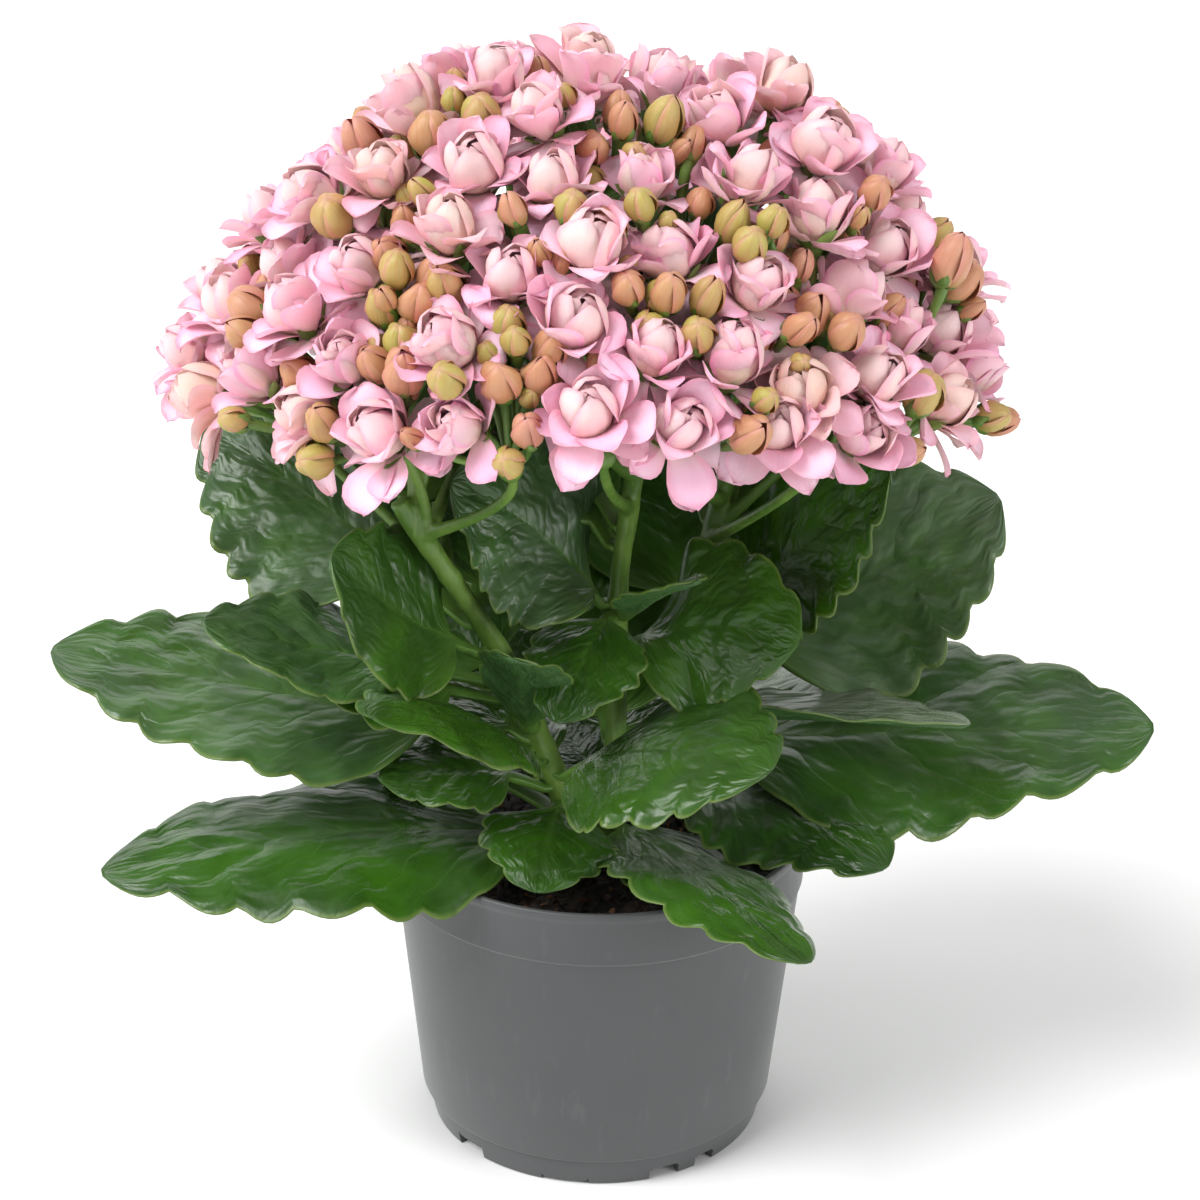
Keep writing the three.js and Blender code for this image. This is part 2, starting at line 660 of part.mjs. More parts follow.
// A bud: an egg of four sides on its pedicel
function budSolid(head, reach, draw) {
  const size = lerp(BUD.smallest, 1, draw());
  const even = (height, radius, phase) =>
    Array.from({ length: BUD.sides }, (_, k) => [(k + phase) / BUD.sides, height * size, radius * size]);
  const rings = [even(BUD.lowHeight, BUD.lowRadius, 0), even(BUD.highHeight, BUD.highRadius, 0.5)].map(
    (corners) => headRing(head, reach, corners),
  );
  const point = head.place.clone().addScaledVector(head.axis, BUD.tip * size);
  return skin([...pedicelRings(head, BUD.foot * size), ...rings, [[0, point]]]);
}

// A cyme: a small hub on the branch's end, with its flowers and buds on their pedicels
function cymeSolid(cyme, heads, seed) {
  const draw = draws(seed);
  const { axis, hub } = cymeStand(cyme);
  const round = (radius) => Array(HEAD.hubSides).fill(radius);
  const hubSolid = skin([
    ring(hub, axis, -HEAD.hubRadius, round(STEM.branchRadius)),
    ring(hub, axis, 0, round(HEAD.hubRadius)),
    [[0, hub.clone().addScaledVector(axis, HEAD.hubRadius)]],
  ]);
  const own = heads.filter((head) => head.name === cyme[0]);
  const grownHeads = own.map((head) => {
    const reach = reachOf(head, heads);
    return head.isFlower ? flowerSolid(head, reach, draw) : budSolid(head, reach, draw);
  });
  return largest(union([hubSolid, ...grownHeads]).simplify(FINENESS));
}

function meshOf(name, solid, finish) {
  const { vertProperties, triVerts } = solid.getMesh();
  const geometry = new THREE.BufferGeometry();
  geometry.setAttribute("position", new THREE.BufferAttribute(vertProperties, 3));
  geometry.setIndex(new THREE.BufferAttribute(triVerts, 1));
  geometry.computeVertexNormals();
  const mesh = new THREE.Mesh(geometry, new THREE.MeshStandardMaterial({ ...finish, metalness: 0 }));
  mesh.name = name;
  return mesh;
}

const plant = new THREE.Group();
const standing = [];
function place(name, solid, finish) {
  standing.push(solid);
  plant.add(meshOf(name, solid, finish));
}

const heads = standHeads();
place("pot", potSolid(), FINISH.pot);
place("soil", soilSolid(), FINISH.soil);
Object.keys(STEMS).forEach((name) => place(`stem_${name}`, stemSolid(name), FINISH.stem));
CYMES.forEach((cyme, index) => {
  place(`cyme_${cyme[0]}`, clearOf(cymeSolid(cyme, heads, index + 1), standing), FINISH.flower);
});
LEAVES.forEach((leaf, index) => {
  place(`leaf_${leaf[0]}`, clearOf(leafSolid(leaf, index), standing), FINISH.leaf);
});

export default plant;
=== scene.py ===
"""A potted kalanchoe in full double bloom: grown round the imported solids, in metres, +Z up."""
import json
import math
from collections import namedtuple

import bmesh
import bpy
import numpy as np
from mathutils import Matrix, Vector

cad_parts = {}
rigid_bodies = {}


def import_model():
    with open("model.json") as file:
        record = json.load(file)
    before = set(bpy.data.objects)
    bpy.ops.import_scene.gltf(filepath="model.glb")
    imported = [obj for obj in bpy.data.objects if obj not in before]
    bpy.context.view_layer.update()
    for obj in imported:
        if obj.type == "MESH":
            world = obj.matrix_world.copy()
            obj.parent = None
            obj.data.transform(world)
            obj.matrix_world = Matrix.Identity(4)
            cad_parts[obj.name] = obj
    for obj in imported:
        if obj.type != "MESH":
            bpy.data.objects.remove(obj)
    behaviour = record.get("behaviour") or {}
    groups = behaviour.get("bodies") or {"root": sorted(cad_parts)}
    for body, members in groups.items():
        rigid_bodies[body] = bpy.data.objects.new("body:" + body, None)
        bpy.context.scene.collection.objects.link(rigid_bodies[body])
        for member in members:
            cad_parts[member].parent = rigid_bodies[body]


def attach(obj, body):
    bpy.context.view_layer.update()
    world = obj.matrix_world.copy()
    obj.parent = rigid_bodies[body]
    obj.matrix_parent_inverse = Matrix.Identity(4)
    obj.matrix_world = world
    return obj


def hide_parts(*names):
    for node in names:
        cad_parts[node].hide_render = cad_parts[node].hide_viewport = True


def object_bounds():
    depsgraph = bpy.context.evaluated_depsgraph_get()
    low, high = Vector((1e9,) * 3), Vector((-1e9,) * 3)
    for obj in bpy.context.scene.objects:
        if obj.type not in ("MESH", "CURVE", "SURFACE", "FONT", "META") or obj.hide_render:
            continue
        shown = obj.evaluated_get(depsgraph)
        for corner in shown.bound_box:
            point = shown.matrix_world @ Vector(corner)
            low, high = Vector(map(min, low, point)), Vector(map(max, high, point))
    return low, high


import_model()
cad_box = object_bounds()

MM = 0.001
FINE_WELD = 1e-7
LEAF_WELD = 2e-5
GOLDEN_ANGLE = math.pi * (3 - math.sqrt(5))

# Driving dimensions of the pot and its peat, in millimetres
POT = {
    "height": 81.5, "lip": 52.5, "foot": 42.6, "foot_width": 2.6, "ledge_height": 8.5, "ledge": 45.3,
    "band_height": 14.0, "band": 51.9, "band_proud": 0.6, "wall": 1.4, "floor": 4.0, "sides": 144,
}
NOTCHES = [
    (-137, 9, 3.4), (-100, 12, 1), (-66, 8, 3.4), (-50, 6, 3.4),
    (43, 9, 3.4), (90, 12, 3.4), (137, 9, 3.4), (180, 9, 3.4),
]
DRAIN = {"count": 6, "radius": 3.0, "ring": 27.0}
PEAT = {"level": 74.0, "edge_drop": 1.2, "rings": 26, "sides": 96, "crumb": 1.1}
# Chips on the peat: how many to a square metre, how large, and on which faces (in metres) they lie
LAID = {"density": 180000.0, "size": (0.45, 1.25), "level": 0.4, "above": 0.06, "seed": 4}
# The chips: half lengths and seed of each
SCRAPS = {
    "crumb": ((1.1, 1.0, 0.7), 21), "fibre": ((2.4, 0.35, 0.3), 22), "bark": ((1.7, 1.1, 0.45), 23),
    "grit": ((0.7, 0.6, 0.5), 24),
}

# Driving dimensions of the plant, in millimetres
STEM = {
    "foot": 60, "top": 190, "base": 3.3, "tip": 2.2, "skin": 0.92, "branch": 1.35, "bend": 14, "knot": 0.4,
    "knot_length": 2.6, "step": 1.5, "eased_over": 8, "sides": 16, "grain": 0.75,
}
BRANCH = {
    "thick": 1.05, "root": 0.5, "root_share": 0.12, "thinner": 0.12, "into_hub": 1.5, "steps": 14,
    "sides": 10,
}
# Stalks of the flower heads, as shares of their radius, and the knob on the hub that they leave
PEDICEL = {
    "radius": 1.15, "sides": 8, "bend": 0.45, "thicks": (0.8, 0.85, 0.8, 0.8, 0.85, 1.05),
    "under_bloom": 1.55, "under_bud": 1.3, "under_side_bud": 1.1,
}
KNOB = {"heights": (-1.5, 0.5, 2.2, 3.2), "thicks": (1.3, 2.2, 2.6, 2.0, 0.8)}
# Edges sharper than this many degrees stay sharp
SHARP = {"pot": 32, "peat": 60, "chips": 40, "flowers": 65}
LEAF = {
    "blade": 1.0, "rib": 2.2, "petiole": 2.0, "gap": 0.35, "node_gap": 0.5, "fullness": 0.72,
    "roundness": 0.7, "blunt_tip": 0.1, "lobe_share": 1.17, "lobe_mean": 0.6, "roll_share": 0.35,
    "wave": 0.07, "waves": 2.2, "root": (-2.6, -1.2), "end": 0.997, "opens": 0.14, "per_lobe": 8,
    "columns": 31,
}
# Lobes of a leaf's edge: how deep from stalk to tip, how round, how uneven
LOBE = {"depth": 0.05, "deeper": 0.11, "deepest": 0.12, "round": 0.62, "uneven": 0.012}
# Swellings of a blade in millimetres, on a leaf of full width
QUILT = {
    "full_width": 46, "swell": 0.85, "pucker": 0.28, "roll": 0.9, "flutter": 0.55, "edge": 0.4,
    "groove": 0.8, "groove_width": 1.3, "veins": 0.55, "vein_lean": 0.42,
}
HEAD = {
    "bloom_room": 9.6, "bud_room": 4.3, "spacing": 9, "sunk": 0.07, "sight": 36, "rounds": 80,
    "margin": 12, "push": 0.3, "lean": 0.012, "seed": 5, "hub_depth": 23, "hub": 3.2,
    "smallest_bud": 0.6, "bloom_draws": 16, "tone_seed": 77,
}
BUD_RISE = 2.6
BUD_SWELL = 1.02
# Blooms: least size, and how much larger the largest is
BLOOM_SIZE = (1.03, 0.14)
# How far heads turn from their place's axis, and how long their necks are
NOD = {"bloom": 0.5, "bud": 0.45}
NECK = {"bloom": 4.2, "bud": 5.2}
# Buds beside a head: at most how many, how likely each, and how large, far, high, tilted and ruddy
SIDE_BUDS = {
    "most": 2, "by_bloom": 0.3, "by_bud": 0.45, "small": 0.45, "large": 0.85, "reach": 0.95, "room": 3.4,
    "rise": 1.5, "lean": 0.35, "tone": 0.75,
}
KINDS = {"blooms": 1, "buds": 2}
# The nine forms of bloom, some drawn twice
BLOOM_PICKS = (0, 1, 2, 3, 4, 6, 7, 8, 0, 2, 5)
BUD_FORMS = 4
TOP_OF_BUDS = 268.0
# Blooms that hang at the foot of the dome, cyme and place of each, and how far they face down
LOW_BLOOMS = [("o", (56, -46, 198)), ("b", (-62, -47, 202)), ("j", (37, -57, 203))]
HANG = 0.35
# Flowers stop over this length at the solids' box
EASE = 2.5
# How far petals give way to a bloom or a bud, and how they tilt over or under it, by their height
GIVE = {"bloom": 5.0, "bud": 1.4}
TILT = {"over": 0.4, "over_from": (-8, 2), "under": -0.45, "under_to": (4, 9), "most": 6}
# How freely petals turn, pitch, roll and differ in size, and how tightly the innermost are held
LOOSE = {"turn": (-0.2, 0.2), "pitch": (-0.26, 0.2), "roll": (-0.3, 0.3), "size": (-0.13, 0.08), "held": 0.3}
# Each tier of petals is turned from the one inside it by this share of a turn
TIER_TURN = 0.31
# The dome of flowers, the wavy lower edge that it keeps to, and where its heads look away from
DOME_MIDDLE = np.array((-9.0, -2.0, 168.0))
DOME_HALF = np.array((90.0, 78.0, 102.0))
SKIRT = {"height": 196, "slope": -0.2, "uneven": 7}
AIM = np.array((0.0, 0.0, 118.0))

STEMS = {
    "left": [(-6, -14, 60), (-9, -15, 95), (-21, -20, 130), (-37, -29, 160), (-47, -34, 178)],
    "centre": [(2, -6, 60), (4, -8, 110), (4, -10, 150), (9, -14, 190)],
    "right": [(11, 8, 60), (16, 8, 100), (26, 10, 150), (34, 12, 186)],
}

# Leaves: name, stem, height of its node, tip, arch, sweep, width, roll in degrees, cup, stalk share, lobes
LEAVES = [
    ("far_left", "left", 108, (-132, -14, 131), 5, -4, 56, 18, 0.02, 0.22, 6),
    ("front_left", "left", 84, (-117, -46, 88), 13, -2, 60, 8, -0.14, 0.08, 6),
    ("far_right", "right", 100, (134, -16, 115), 4, 6, 62, -24, -0.05, 0.14, 6),
    ("high_right", "right", 114, (99, 24, 159), 2, 0, 62, -42, 0.05, 0.22, 6),
    ("high_left", "left", 143, (-98, 22, 176), 4, 0, 54, 44, 0.1, 0.24, 6),
    ("front_right", "left", 102, (38, -64, 125), 14, 0, 52, -24, -0.12, 0.12, 6),
    ("front_low", "centre", 84, (47, -84, 88), 10, 4, 36, 8, -0.15, 0.05, 6),
    ("low_right", "right", 90, (68, -43, 90), 11, 0, 42, -10, -0.1, 0.15, 6),
    ("upper_mid", "centre", 144, (-35, -24, 178), 8, 0, 46, 62, 0.02, 0.08, 6),
    ("small_left", "left", 127, (-91, -41, 150), 0, 0, 34, 20, 0, 0.35, 4),
    ("folded_right", "centre", 134, (46, -32, 143), 8, 0, 42, -58, -0.1, 0.08, 4),
    ("tall_right", "right", 122, (66, -20, 181), 6, -8, 46, -60, 0.1, 0.24, 6),
    ("narrow_right", "right", 108, (85, -44, 128), 2, 0, 26, 6, 0.25, 0.1, 4),
    ("dark_left", "left", 136, (-60, -50, 170), -4, 0, 42, 56, 0.1, 0.2, 4),
    ("front_mid_left", "left", 106, (-50, -72, 141), 12, 0, 40, 12, -0.2, 0.15, 4),
    ("low_left", "left", 122, (-72, -37, 137), 2, 0, 30, 20, -0.1, 0.28, 4),
    ("inner_left", "left", 124, (-58, 16, 148), 2, 0, 48, 44, 0.05, 0.15, 4),
    ("curled", "left", 116, (-20, -50, 146), 5, 0, 22, 10, 0.3, 0.1, 4),
    ("edge_on", "centre", 142, (21, -52, 166), 3, 0, 18, -8, 0.1, 0.1, 4),
    ("dark_right", "right", 142, (58, 46, 172), 4, 0, 40, -30, 0.1, 0.2, 4),
    ("round_low", "left", 94, (-14, -50, 86), 7, 0, 32, 6, -0.15, 0.1, 4),
    ("shaded_low", "centre", 79, (38, -60, 82), 7, 0, 26, 0, -0.1, 0.1, 4),
    ("inner_mid", "centre", 142, (-10, -44, 127), 6, 0, 28, 10, -0.1, 0.1, 4),
    ("inner_right", "centre", 104, (-8, 36, 150), -2, 0, 52, 0, 0.05, 0.1, 4),
    ("under_front", "left", 98, (-52, -36, 108), 8, 0, 28, 16, -0.1, 0.25, 4),
    ("low_back", "centre", 84, (-26, 42, 96), 4, 0, 38, 6, 0.1, 0.2, 4),
    ("under_left", "left", 90, (-62, 22, 94), 6, 0, 40, 10, 0.1, 0.3, 4),
    ("inner_back", "right", 128, (16, 60, 166), 2, 0, 54, 0, 0.05, 0.15, 4),
    ("back_left", "left", 99, (-102, 54, 110), 10, 0, 54, -14, 0.05, 0.3, 6),
    ("back", "centre", 98, (2, 85.5, 103), 12, 0, 56, 0, -0.05, 0.3, 6),
    ("back_right", "right", 94, (82, 72, 106), 10, 0, 50, 14, 0.05, 0.3, 6),
    ("back_high", "right", 156, (10, 68, 190), 4, 0, 42, 0, 0.1, 0.3, 4),
    ("back_high_right", "right", 160, (80, 54, 192), 4, 0, 34, 0, 0.1, 0.3, 4),
    ("back_high_left", "centre", 163, (-36, 60, 198), 4, 0, 34, 0, 0.1, 0.35, 4),
]
# Small shoots in the shade of the stems: height of the node, tip, width
SHOOTS = {
    "left": [
        (110, (-50, 8, 116), 26), (98, (-38, 26, 104), 30), (118, (-34, 14, 132), 24),
        (90, (-8, 14, 92), 20), (146, (-26, 28, 172), 40), (166, (-50, 40, 211), 38),
    ],
    "centre": [
        (104, (12, 26, 110), 28), (92, (-14, 26, 98), 30), (120, (-12, 14, 130), 22), (86, (22, 22, 90), 22),
        (158, (-30, 20, 192), 36), (180, (-34, 22, 232), 34), (182, (22, 28, 236), 34),
    ],
    "right": [
        (104, (30, 36, 108), 28), (92, (38, 20, 94), 24), (118, (8, 30, 124), 24), (160, (50, 44, 212), 36),
    ],
}
SHOOT = {
    "arch": 3, "sweep": 0, "roll": 8, "cup": 0.05, "stalk": 0.12, "lobes": 4, "first": 40, "per_lobe": 5,
    "columns": 17,
}
# How pale the leaves are that differ from the rest, partly their own tone and partly painted light on leaves
# in shade, and how much painted sheen they carry: 0 to 1 each
LEAF_TONES = {
    "narrow_right": (0.35, 1.0), "high_right": (0.5, 0.85), "far_right": (0.15, 0.2),
    "low_right": (0.1, 0.15), "edge_on": (1.0, 0.0), "curled": (0.7, 0.4), "upper_mid": (0.1, 0.5),
    "far_left": (0.2, 0.35), "small_left": (0.15, 0.45), "high_left": (0.15, 0.35),
    "front_left": (0.15, 0.12), "folded_right": (0.35, 0.1), "front_right": (0.3, 0.15),
    "tall_right": (0.4, 0.0), "front_mid_left": (0.35, 0.1), "shaded_low": (0.2, 0.1),
    "front_low": (0.3, 0.15),
}

# Cymes: name, stem, height of its fork, crown, blooms, buds, first turn in degrees
CYMES = [
    ("a", "left", 157, (-94, -7, 203), 4, 3, 0),
    ("b", "left", 164, (-58, -52, 214), 5, 3, 40),
    ("c", "left", 170, (-61, -26, 245), 4, 3, 80),
    ("d", "left", 172, (-39, -18, 262), 4, 2, 10),
    ("e", "centre", 184, (-1, -14, 266), 3, 5, 120),
    ("f", "centre", 180, (-12, -44, 250), 3, 1, 200),
    ("g", "centre", 176, (-18, -58, 235), 4, 6, 60),
    ("h", "left", 168, (-25, -70, 211), 3, 4, 15),
    ("i", "centre", 168, (0, -70, 215), 3, 3, 90),
    ("j", "right", 162, (25, -62, 217), 4, 5, 75),
    ("k", "centre", 180, (19, -47, 243), 2, 7, 20),
    ("l", "right", 180, (38, -8, 263), 4, 2, 30),
    ("m", "right", 176, (61, -12, 247), 3, 2, 260),
    ("n", "right", 168, (50, -44, 228), 3, 2, 300),
    ("o", "right", 152, (61, -48, 206), 4, 4, 150),
    ("p", "right", 154, (84, -4, 222), 3, 4, 45),
    ("q", "left", 156, (-67, 36, 222), 5, 4, 45),
    ("r", "left", 166, (-30, 54, 236), 5, 3, 100),
    ("s", "centre", 168, (12, 66, 222), 5, 4, 190),
    ("t", "right", 166, (48, 52, 226), 5, 4, 280),
    ("u", "centre", 182, (2, 24, 260), 4, 3, 320),
]


# Small maths

def unit(vector):
    return vector / np.linalg.norm(vector)


def units(vectors):
    return vectors / np.linalg.norm(vectors, axis=-1, keepdims=True)


def across(axis):
    side = np.array((-axis[1], axis[0], 0.0))
    side = unit(side) if side @ side > 1e-6 else np.array((1.0, 0.0, 0.0))
    return side, unit(np.cross(axis, side))


def smooth(value, low, high):
    share = np.clip((np.asarray(value, float) - low) / (high - low), 0, 1)
    return share * share * (3 - 2 * share)


def bezier(start, bend, end, t):
    return (1 - t) ** 2 * start + 2 * t * (1 - t) * bend + t ** 2 * end


def round_turns(count):
    return np.arange(count) * 2 * math.pi / count


def draws(seed):
    """A repeatable draw between 0 and 1."""
    multiplier, modulus = 16807, 2147483647
    state = seed
    while True:
        state = state * multiplier % modulus
        yield state / modulus


# Sockets, nodes and trees

class Wire:
    """An output socket. Arithmetic on it adds Math nodes to its tree."""

    def __init__(self, tree, socket):
        self.tree = tree
        self.socket = socket

    def maths(self, operation, *values):
        return self.tree.node("ShaderNodeMath", {"operation": operation}, dict(enumerate(values)))

    def __add__(self, other):
        return self.maths("ADD", self, other)

    __radd__ = __add__

    def __sub__(self, other):
        return self.maths("SUBTRACT", self, other)

    def __rsub__(self, other):
        return self.maths("SUBTRACT", other, self)

    def __mul__(self, other):
        return self.maths("MULTIPLY", self, other)

    __rmul__ = __mul__

    def __truediv__(self, other):
        return self.maths("DIVIDE", self, other)

    def __pow__(self, other):
        return self.maths("POWER", self, other)

    def __abs__(self):
        return self.maths("ABSOLUTE", self)

    def least(self, other):
        return self.maths("MINIMUM", self, other)

    def most(self, other):
        return self.maths("MAXIMUM", self, other)

    def sine(self):
        return self.maths("SINE", self)

    def step(self, low, high):
        """0 at low, 1 at high, eased between them."""
        spans = {"Value": self, "From Min": low, "From Max": high}
        return self.tree.node("ShaderNodeMapRange", {"interpolation_type": "SMOOTHSTEP"}, spans)


class Tree:
    """A node tree that is written from its last wire back to its first."""

    def __init__(self, nodes):
        self.nodes = nodes

    def node(self, kind, settings=None, sockets=None, out=0):
        made = self.nodes.nodes.new(kind)
        for name, value in (settings or {}).items():
            if name == "stops":
                self.set_stops(made.color_ramp, value)
            else:
                setattr(made, name, value)
        for key, value in (sockets or {}).items():
            self.plug(value, made.inputs[key])
        return Wire(self, made.outputs[out]) if made.outputs else made

    def plug(self, value, socket):
        if isinstance(value, Wire):
            self.nodes.links.new(value.socket, socket)
        elif value is not None:
            socket.default_value = value

    def set_stops(self, ramp, stops):
        while len(ramp.elements) < len(stops):
            ramp.elements.new(1)
        for element, (place, colour) in zip(ramp.elements, stops):
            element.position = place
            element.color = (*colour, 1)

    def blend(self, share, first, second, mode="MIX"):
        colours = [c if isinstance(c, Wire) else (*c, 1) for c in (first, second)]
        settings = {"data_type": "RGBA", "blend_type": mode}
        return self.node("ShaderNodeMix", settings, {0: share, 6: colours[0], 7: colours[1]}, 2)

    def place(self):
        return self.node("ShaderNodeTexCoord", None, None, "Object")

    def stretched(self, vector, scale):
        return self.node("ShaderNodeVectorMath", {"operation": "MULTIPLY"}, {0: vector, 1: scale})

    def noise(self, vector, scale, detail=3.0, roughness=0.55):
        sockets = {"Vector": vector, "Scale": scale, "Detail": detail, "Roughness": roughness}
        return self.node("ShaderNodeTexNoise", None, sockets)

    def cells(self, vector, scale):
        return self.node("ShaderNodeTexVoronoi", None, {"Vector": vector, "Scale": scale})

    def written(self, name):
        """A number that the mesh carries."""
        return self.node("ShaderNodeAttribute", {"attribute_name": name}, None, "Fac")

    def vector(self, x, y, z):
        return self.node("ShaderNodeCombineXYZ", None, {0: x, 1: y, 2: z})

    def bump(self, height, distance, strength=1.0):
        sockets = {"Height": height, "Distance": distance, "Strength": strength}
        return self.node("ShaderNodeBump", None, sockets)

    # Words for geometry

    def number(self, name, kind="FLOAT"):
        """A number or vector that the points carry."""
        return self.node("GeometryNodeInputNamedAttribute", {"data_type": kind}, {"Name": name})

    def chance(self, low, high, seed):
        return self.node("FunctionNodeRandomValue", {"data_type": "FLOAT"}, {2: low, 3: high, 8: seed}, 1)

    def note(self, geometry, name, value, domain="INSTANCE"):
        settings = {"data_type": "FLOAT", "domain": domain}
        sockets = {"Geometry": geometry, "Name": name, "Value": value}
        return self.node("GeometryNodeStoreNamedAttribute", settings, sockets)

    def set_of(self, collection):
        """The members of a set, each in its own place in the order of their names."""
        sockets = {"Collection": collection, "Separate Children": True, "Reset Children": True}
        return self.node("GeometryNodeCollectionInfo", None, sockets)

    def pick(self, seed):
        """A member of a set, drawn at random."""
        return self.node("FunctionNodeRandomValue", {"data_type": "INT"}, {4: 0, 5: 99, 8: seed}, 2)

    def finished(self, geometry, material):
        """Plain geometry in one finish."""
        real = self.node("GeometryNodeRealizeInstances", None, {0: geometry})
        return self.node("GeometryNodeSetMaterial", None, {"Geometry": real, "Material": material})

    def joined(self, parts):
        made = self.nodes.nodes.new("GeometryNodeJoinGeometry")
        for part in parts:
            self.nodes.links.new(part.socket, made.inputs[0])
        return Wire(self, made.outputs[0])


SOCKETS = {
    "number": "NodeSocketFloat", "count": "NodeSocketInt", "set": "NodeSocketCollection",
    "finish": "NodeSocketMaterial",
}


class Recipe:
    """A Geometry Nodes tree with named inputs, which makes plain meshes."""

    def __init__(self, name, inputs, build):
        group = bpy.data.node_groups.new(name, "GeometryNodeTree")
        group.interface.new_socket("Geometry", in_out="OUTPUT", socket_type="NodeSocketGeometry")
        group.interface.new_socket("Geometry", in_out="INPUT", socket_type="NodeSocketGeometry")
        self.keys = {}
        for label, kind in inputs.items():
            socket = group.interface.new_socket(label, in_out="INPUT", socket_type=SOCKETS[kind])
            self.keys[label] = socket.identifier
        tree = Tree(group)
        entry = group.nodes.new("NodeGroupInput")
        wires = {socket.name: Wire(tree, socket) for socket in entry.outputs if socket.name}
        result = build(tree, wires)
        group.links.new(result.socket, group.nodes.new("NodeGroupOutput").inputs[0])
        self.group = group

    def make(self, name, carrier, **values):
        """The plain mesh that the tree makes of a carrier mesh."""
        stand = placed(name, carrier)
        modifier = stand.modifiers.new("recipe", "NODES")
        modifier.node_group = self.group
        for label, value in values.items():
            modifier[self.keys[label.replace("_", " ")]] = value
        mesh = evaluated(stand, every_layer=True)
        stand.modifiers.remove(modifier)
        bpy.data.objects.remove(stand)
        mesh.name = name
        return mesh


# Meshes

def placed(name, data):
    """An object in the scene for a mesh, a light or a camera."""
    piece = bpy.data.objects.new(name, data)
    bpy.context.scene.collection.objects.link(piece)
    return piece


def evaluated(stand, every_layer=False):
    """The plain mesh that an object's modifiers make."""
    graph = bpy.context.evaluated_depsgraph_get()
    return bpy.data.meshes.new_from_object(
        stand.evaluated_get(graph), preserve_all_data_layers=every_layer, depsgraph=graph)


def sheet_mesh(name, points, faces, edges=(), **numbers):
    """A mesh in metres from points in millimetres, with the numbers that it carries at its points."""
    mesh = bpy.data.meshes.new(name)
    mesh.from_pydata((np.asarray(points, float) * MM).tolist(), list(edges), list(faces))
    for label, values in numbers.items():
        values = np.asarray(values)
        if values.ndim == 2:
            layer = mesh.attributes.new(label, "FLOAT_VECTOR", "POINT")
            layer.data.foreach_set("vector", values.astype(np.float32).ravel())
        elif values.dtype.kind == "i":
            layer = mesh.attributes.new(label, "INT", "POINT")
            layer.data.foreach_set("value", values.astype(np.int32))
        else:
            layer = mesh.attributes.new(label, "FLOAT", "POINT")
            layer.data.foreach_set("value", values.astype(np.float32))
    mesh.update()
    return mesh


def weld(mesh, distance=FINE_WELD):
    """Points that meet become one, and faces are turned outwards."""
    work = bmesh.new()
    work.from_mesh(mesh)
    bmesh.ops.remove_doubles(work, verts=work.verts, dist=distance)
    bmesh.ops.dissolve_degenerate(work, edges=work.edges, dist=distance)
    bmesh.ops.recalc_face_normals(work, faces=work.faces)
    work.to_mesh(mesh)
    work.free()
    return mesh


def loft(rings, count, closed_ends=True):
    """Faces between rings of points that follow one another in one list."""
    faces = []
    for ring in range(rings - 1):
        for k in range(count):
            a = ring * count + k
            b = ring * count + (k + 1) % count
            faces.append((a, b, b + count, a + count))
    if closed_ends:
        faces.append(tuple(range(count))[::-1])
        faces.append(tuple(range((rings - 1) * count, rings * count)))
    return faces


def revolved(profile, sides):
    """Rings of points about the Z axis, from radii and heights."""
    return [(r * math.cos(a), r * math.sin(a), z) for r, z in profile for a in round_turns(sides)]


def tube_points(path, radii, sides):
    """Rings of points about a path."""
    path = np.asarray(path, float)
    tangents = units(np.gradient(path, axis=0))
    side = across(tangents[0])[0]
    points = []
    for point, tangent, radius in zip(path, tangents, radii):
        side = unit(side - tangent * (side @ tangent))
        up = np.cross(tangent, side)
        points.extend(point + radius * (math.cos(t) * side + math.sin(t) * up) for t in round_turns(sides))
    return np.array(points)


def stand_up(name, mesh, sharp=None):
    """An object for a finished mesh, smooth but for edges sharper than an angle in degrees."""
    mesh.shade_smooth()
    if sharp:
        mesh.set_sharp_from_angle(angle=math.radians(sharp))
    return placed(name, mesh)


def hand_over(piece, slot, *nodes):
    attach(piece, "root")
    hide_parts(*nodes)


# Finishes

def finish(name, build, **fixed):
    """A material: fixed numbers on the shader, and what varies from wires."""
    made = bpy.data.materials.new(name)
    made.use_nodes = True
    tree = Tree(made.node_tree)
    shader = made.node_tree.nodes["Principled BSDF"]
    for label, value in fixed.items():
        shader.inputs[label.replace("_", " ")].default_value = value
    for label, wire in build(tree).items():
        tree.plug(wire, shader.inputs[label])
    return made


# Colours, as amounts of red, green and blue light
GREY = {"plastic": (0.052, 0.054, 0.056), "clouded": (0.060, 0.062, 0.064), "rubbed": (0.16, 0.17, 0.175)}
EARTH = {
    "wet": (0.006, 0.004, 0.003), "damp": (0.03, 0.016, 0.009), "fibre": (0.12, 0.05, 0.02),
    "crack": (0.01, 0.006, 0.004),
}
BARK = [
    (0.0, (0.008, 0.005, 0.004)), (0.55, (0.028, 0.014, 0.008)), (0.8, (0.11, 0.04, 0.014)),
    (1.0, (0.3, 0.13, 0.045)),
]
GREEN = {
    "stalk": (0.075, 0.16, 0.022), "stalk_light": (0.15, 0.26, 0.045), "thread": (0.22, 0.34, 0.08),
    "deep": (0.009, 0.042, 0.0), "mid": (0.022, 0.088, 0.001), "pale_green": (0.07, 0.19, 0.008),
    "painted_sheen_dim": (0.13, 0.20, 0.12), "silver": (0.34, 0.39, 0.32), "vein": (0.06, 0.15, 0.02),
    "rim": (0.11, 0.17, 0.035), "back": (0.045, 0.11, 0.03), "back_vein": (0.13, 0.24, 0.075),
    "foot": (0.10, 0.21, 0.035),
}
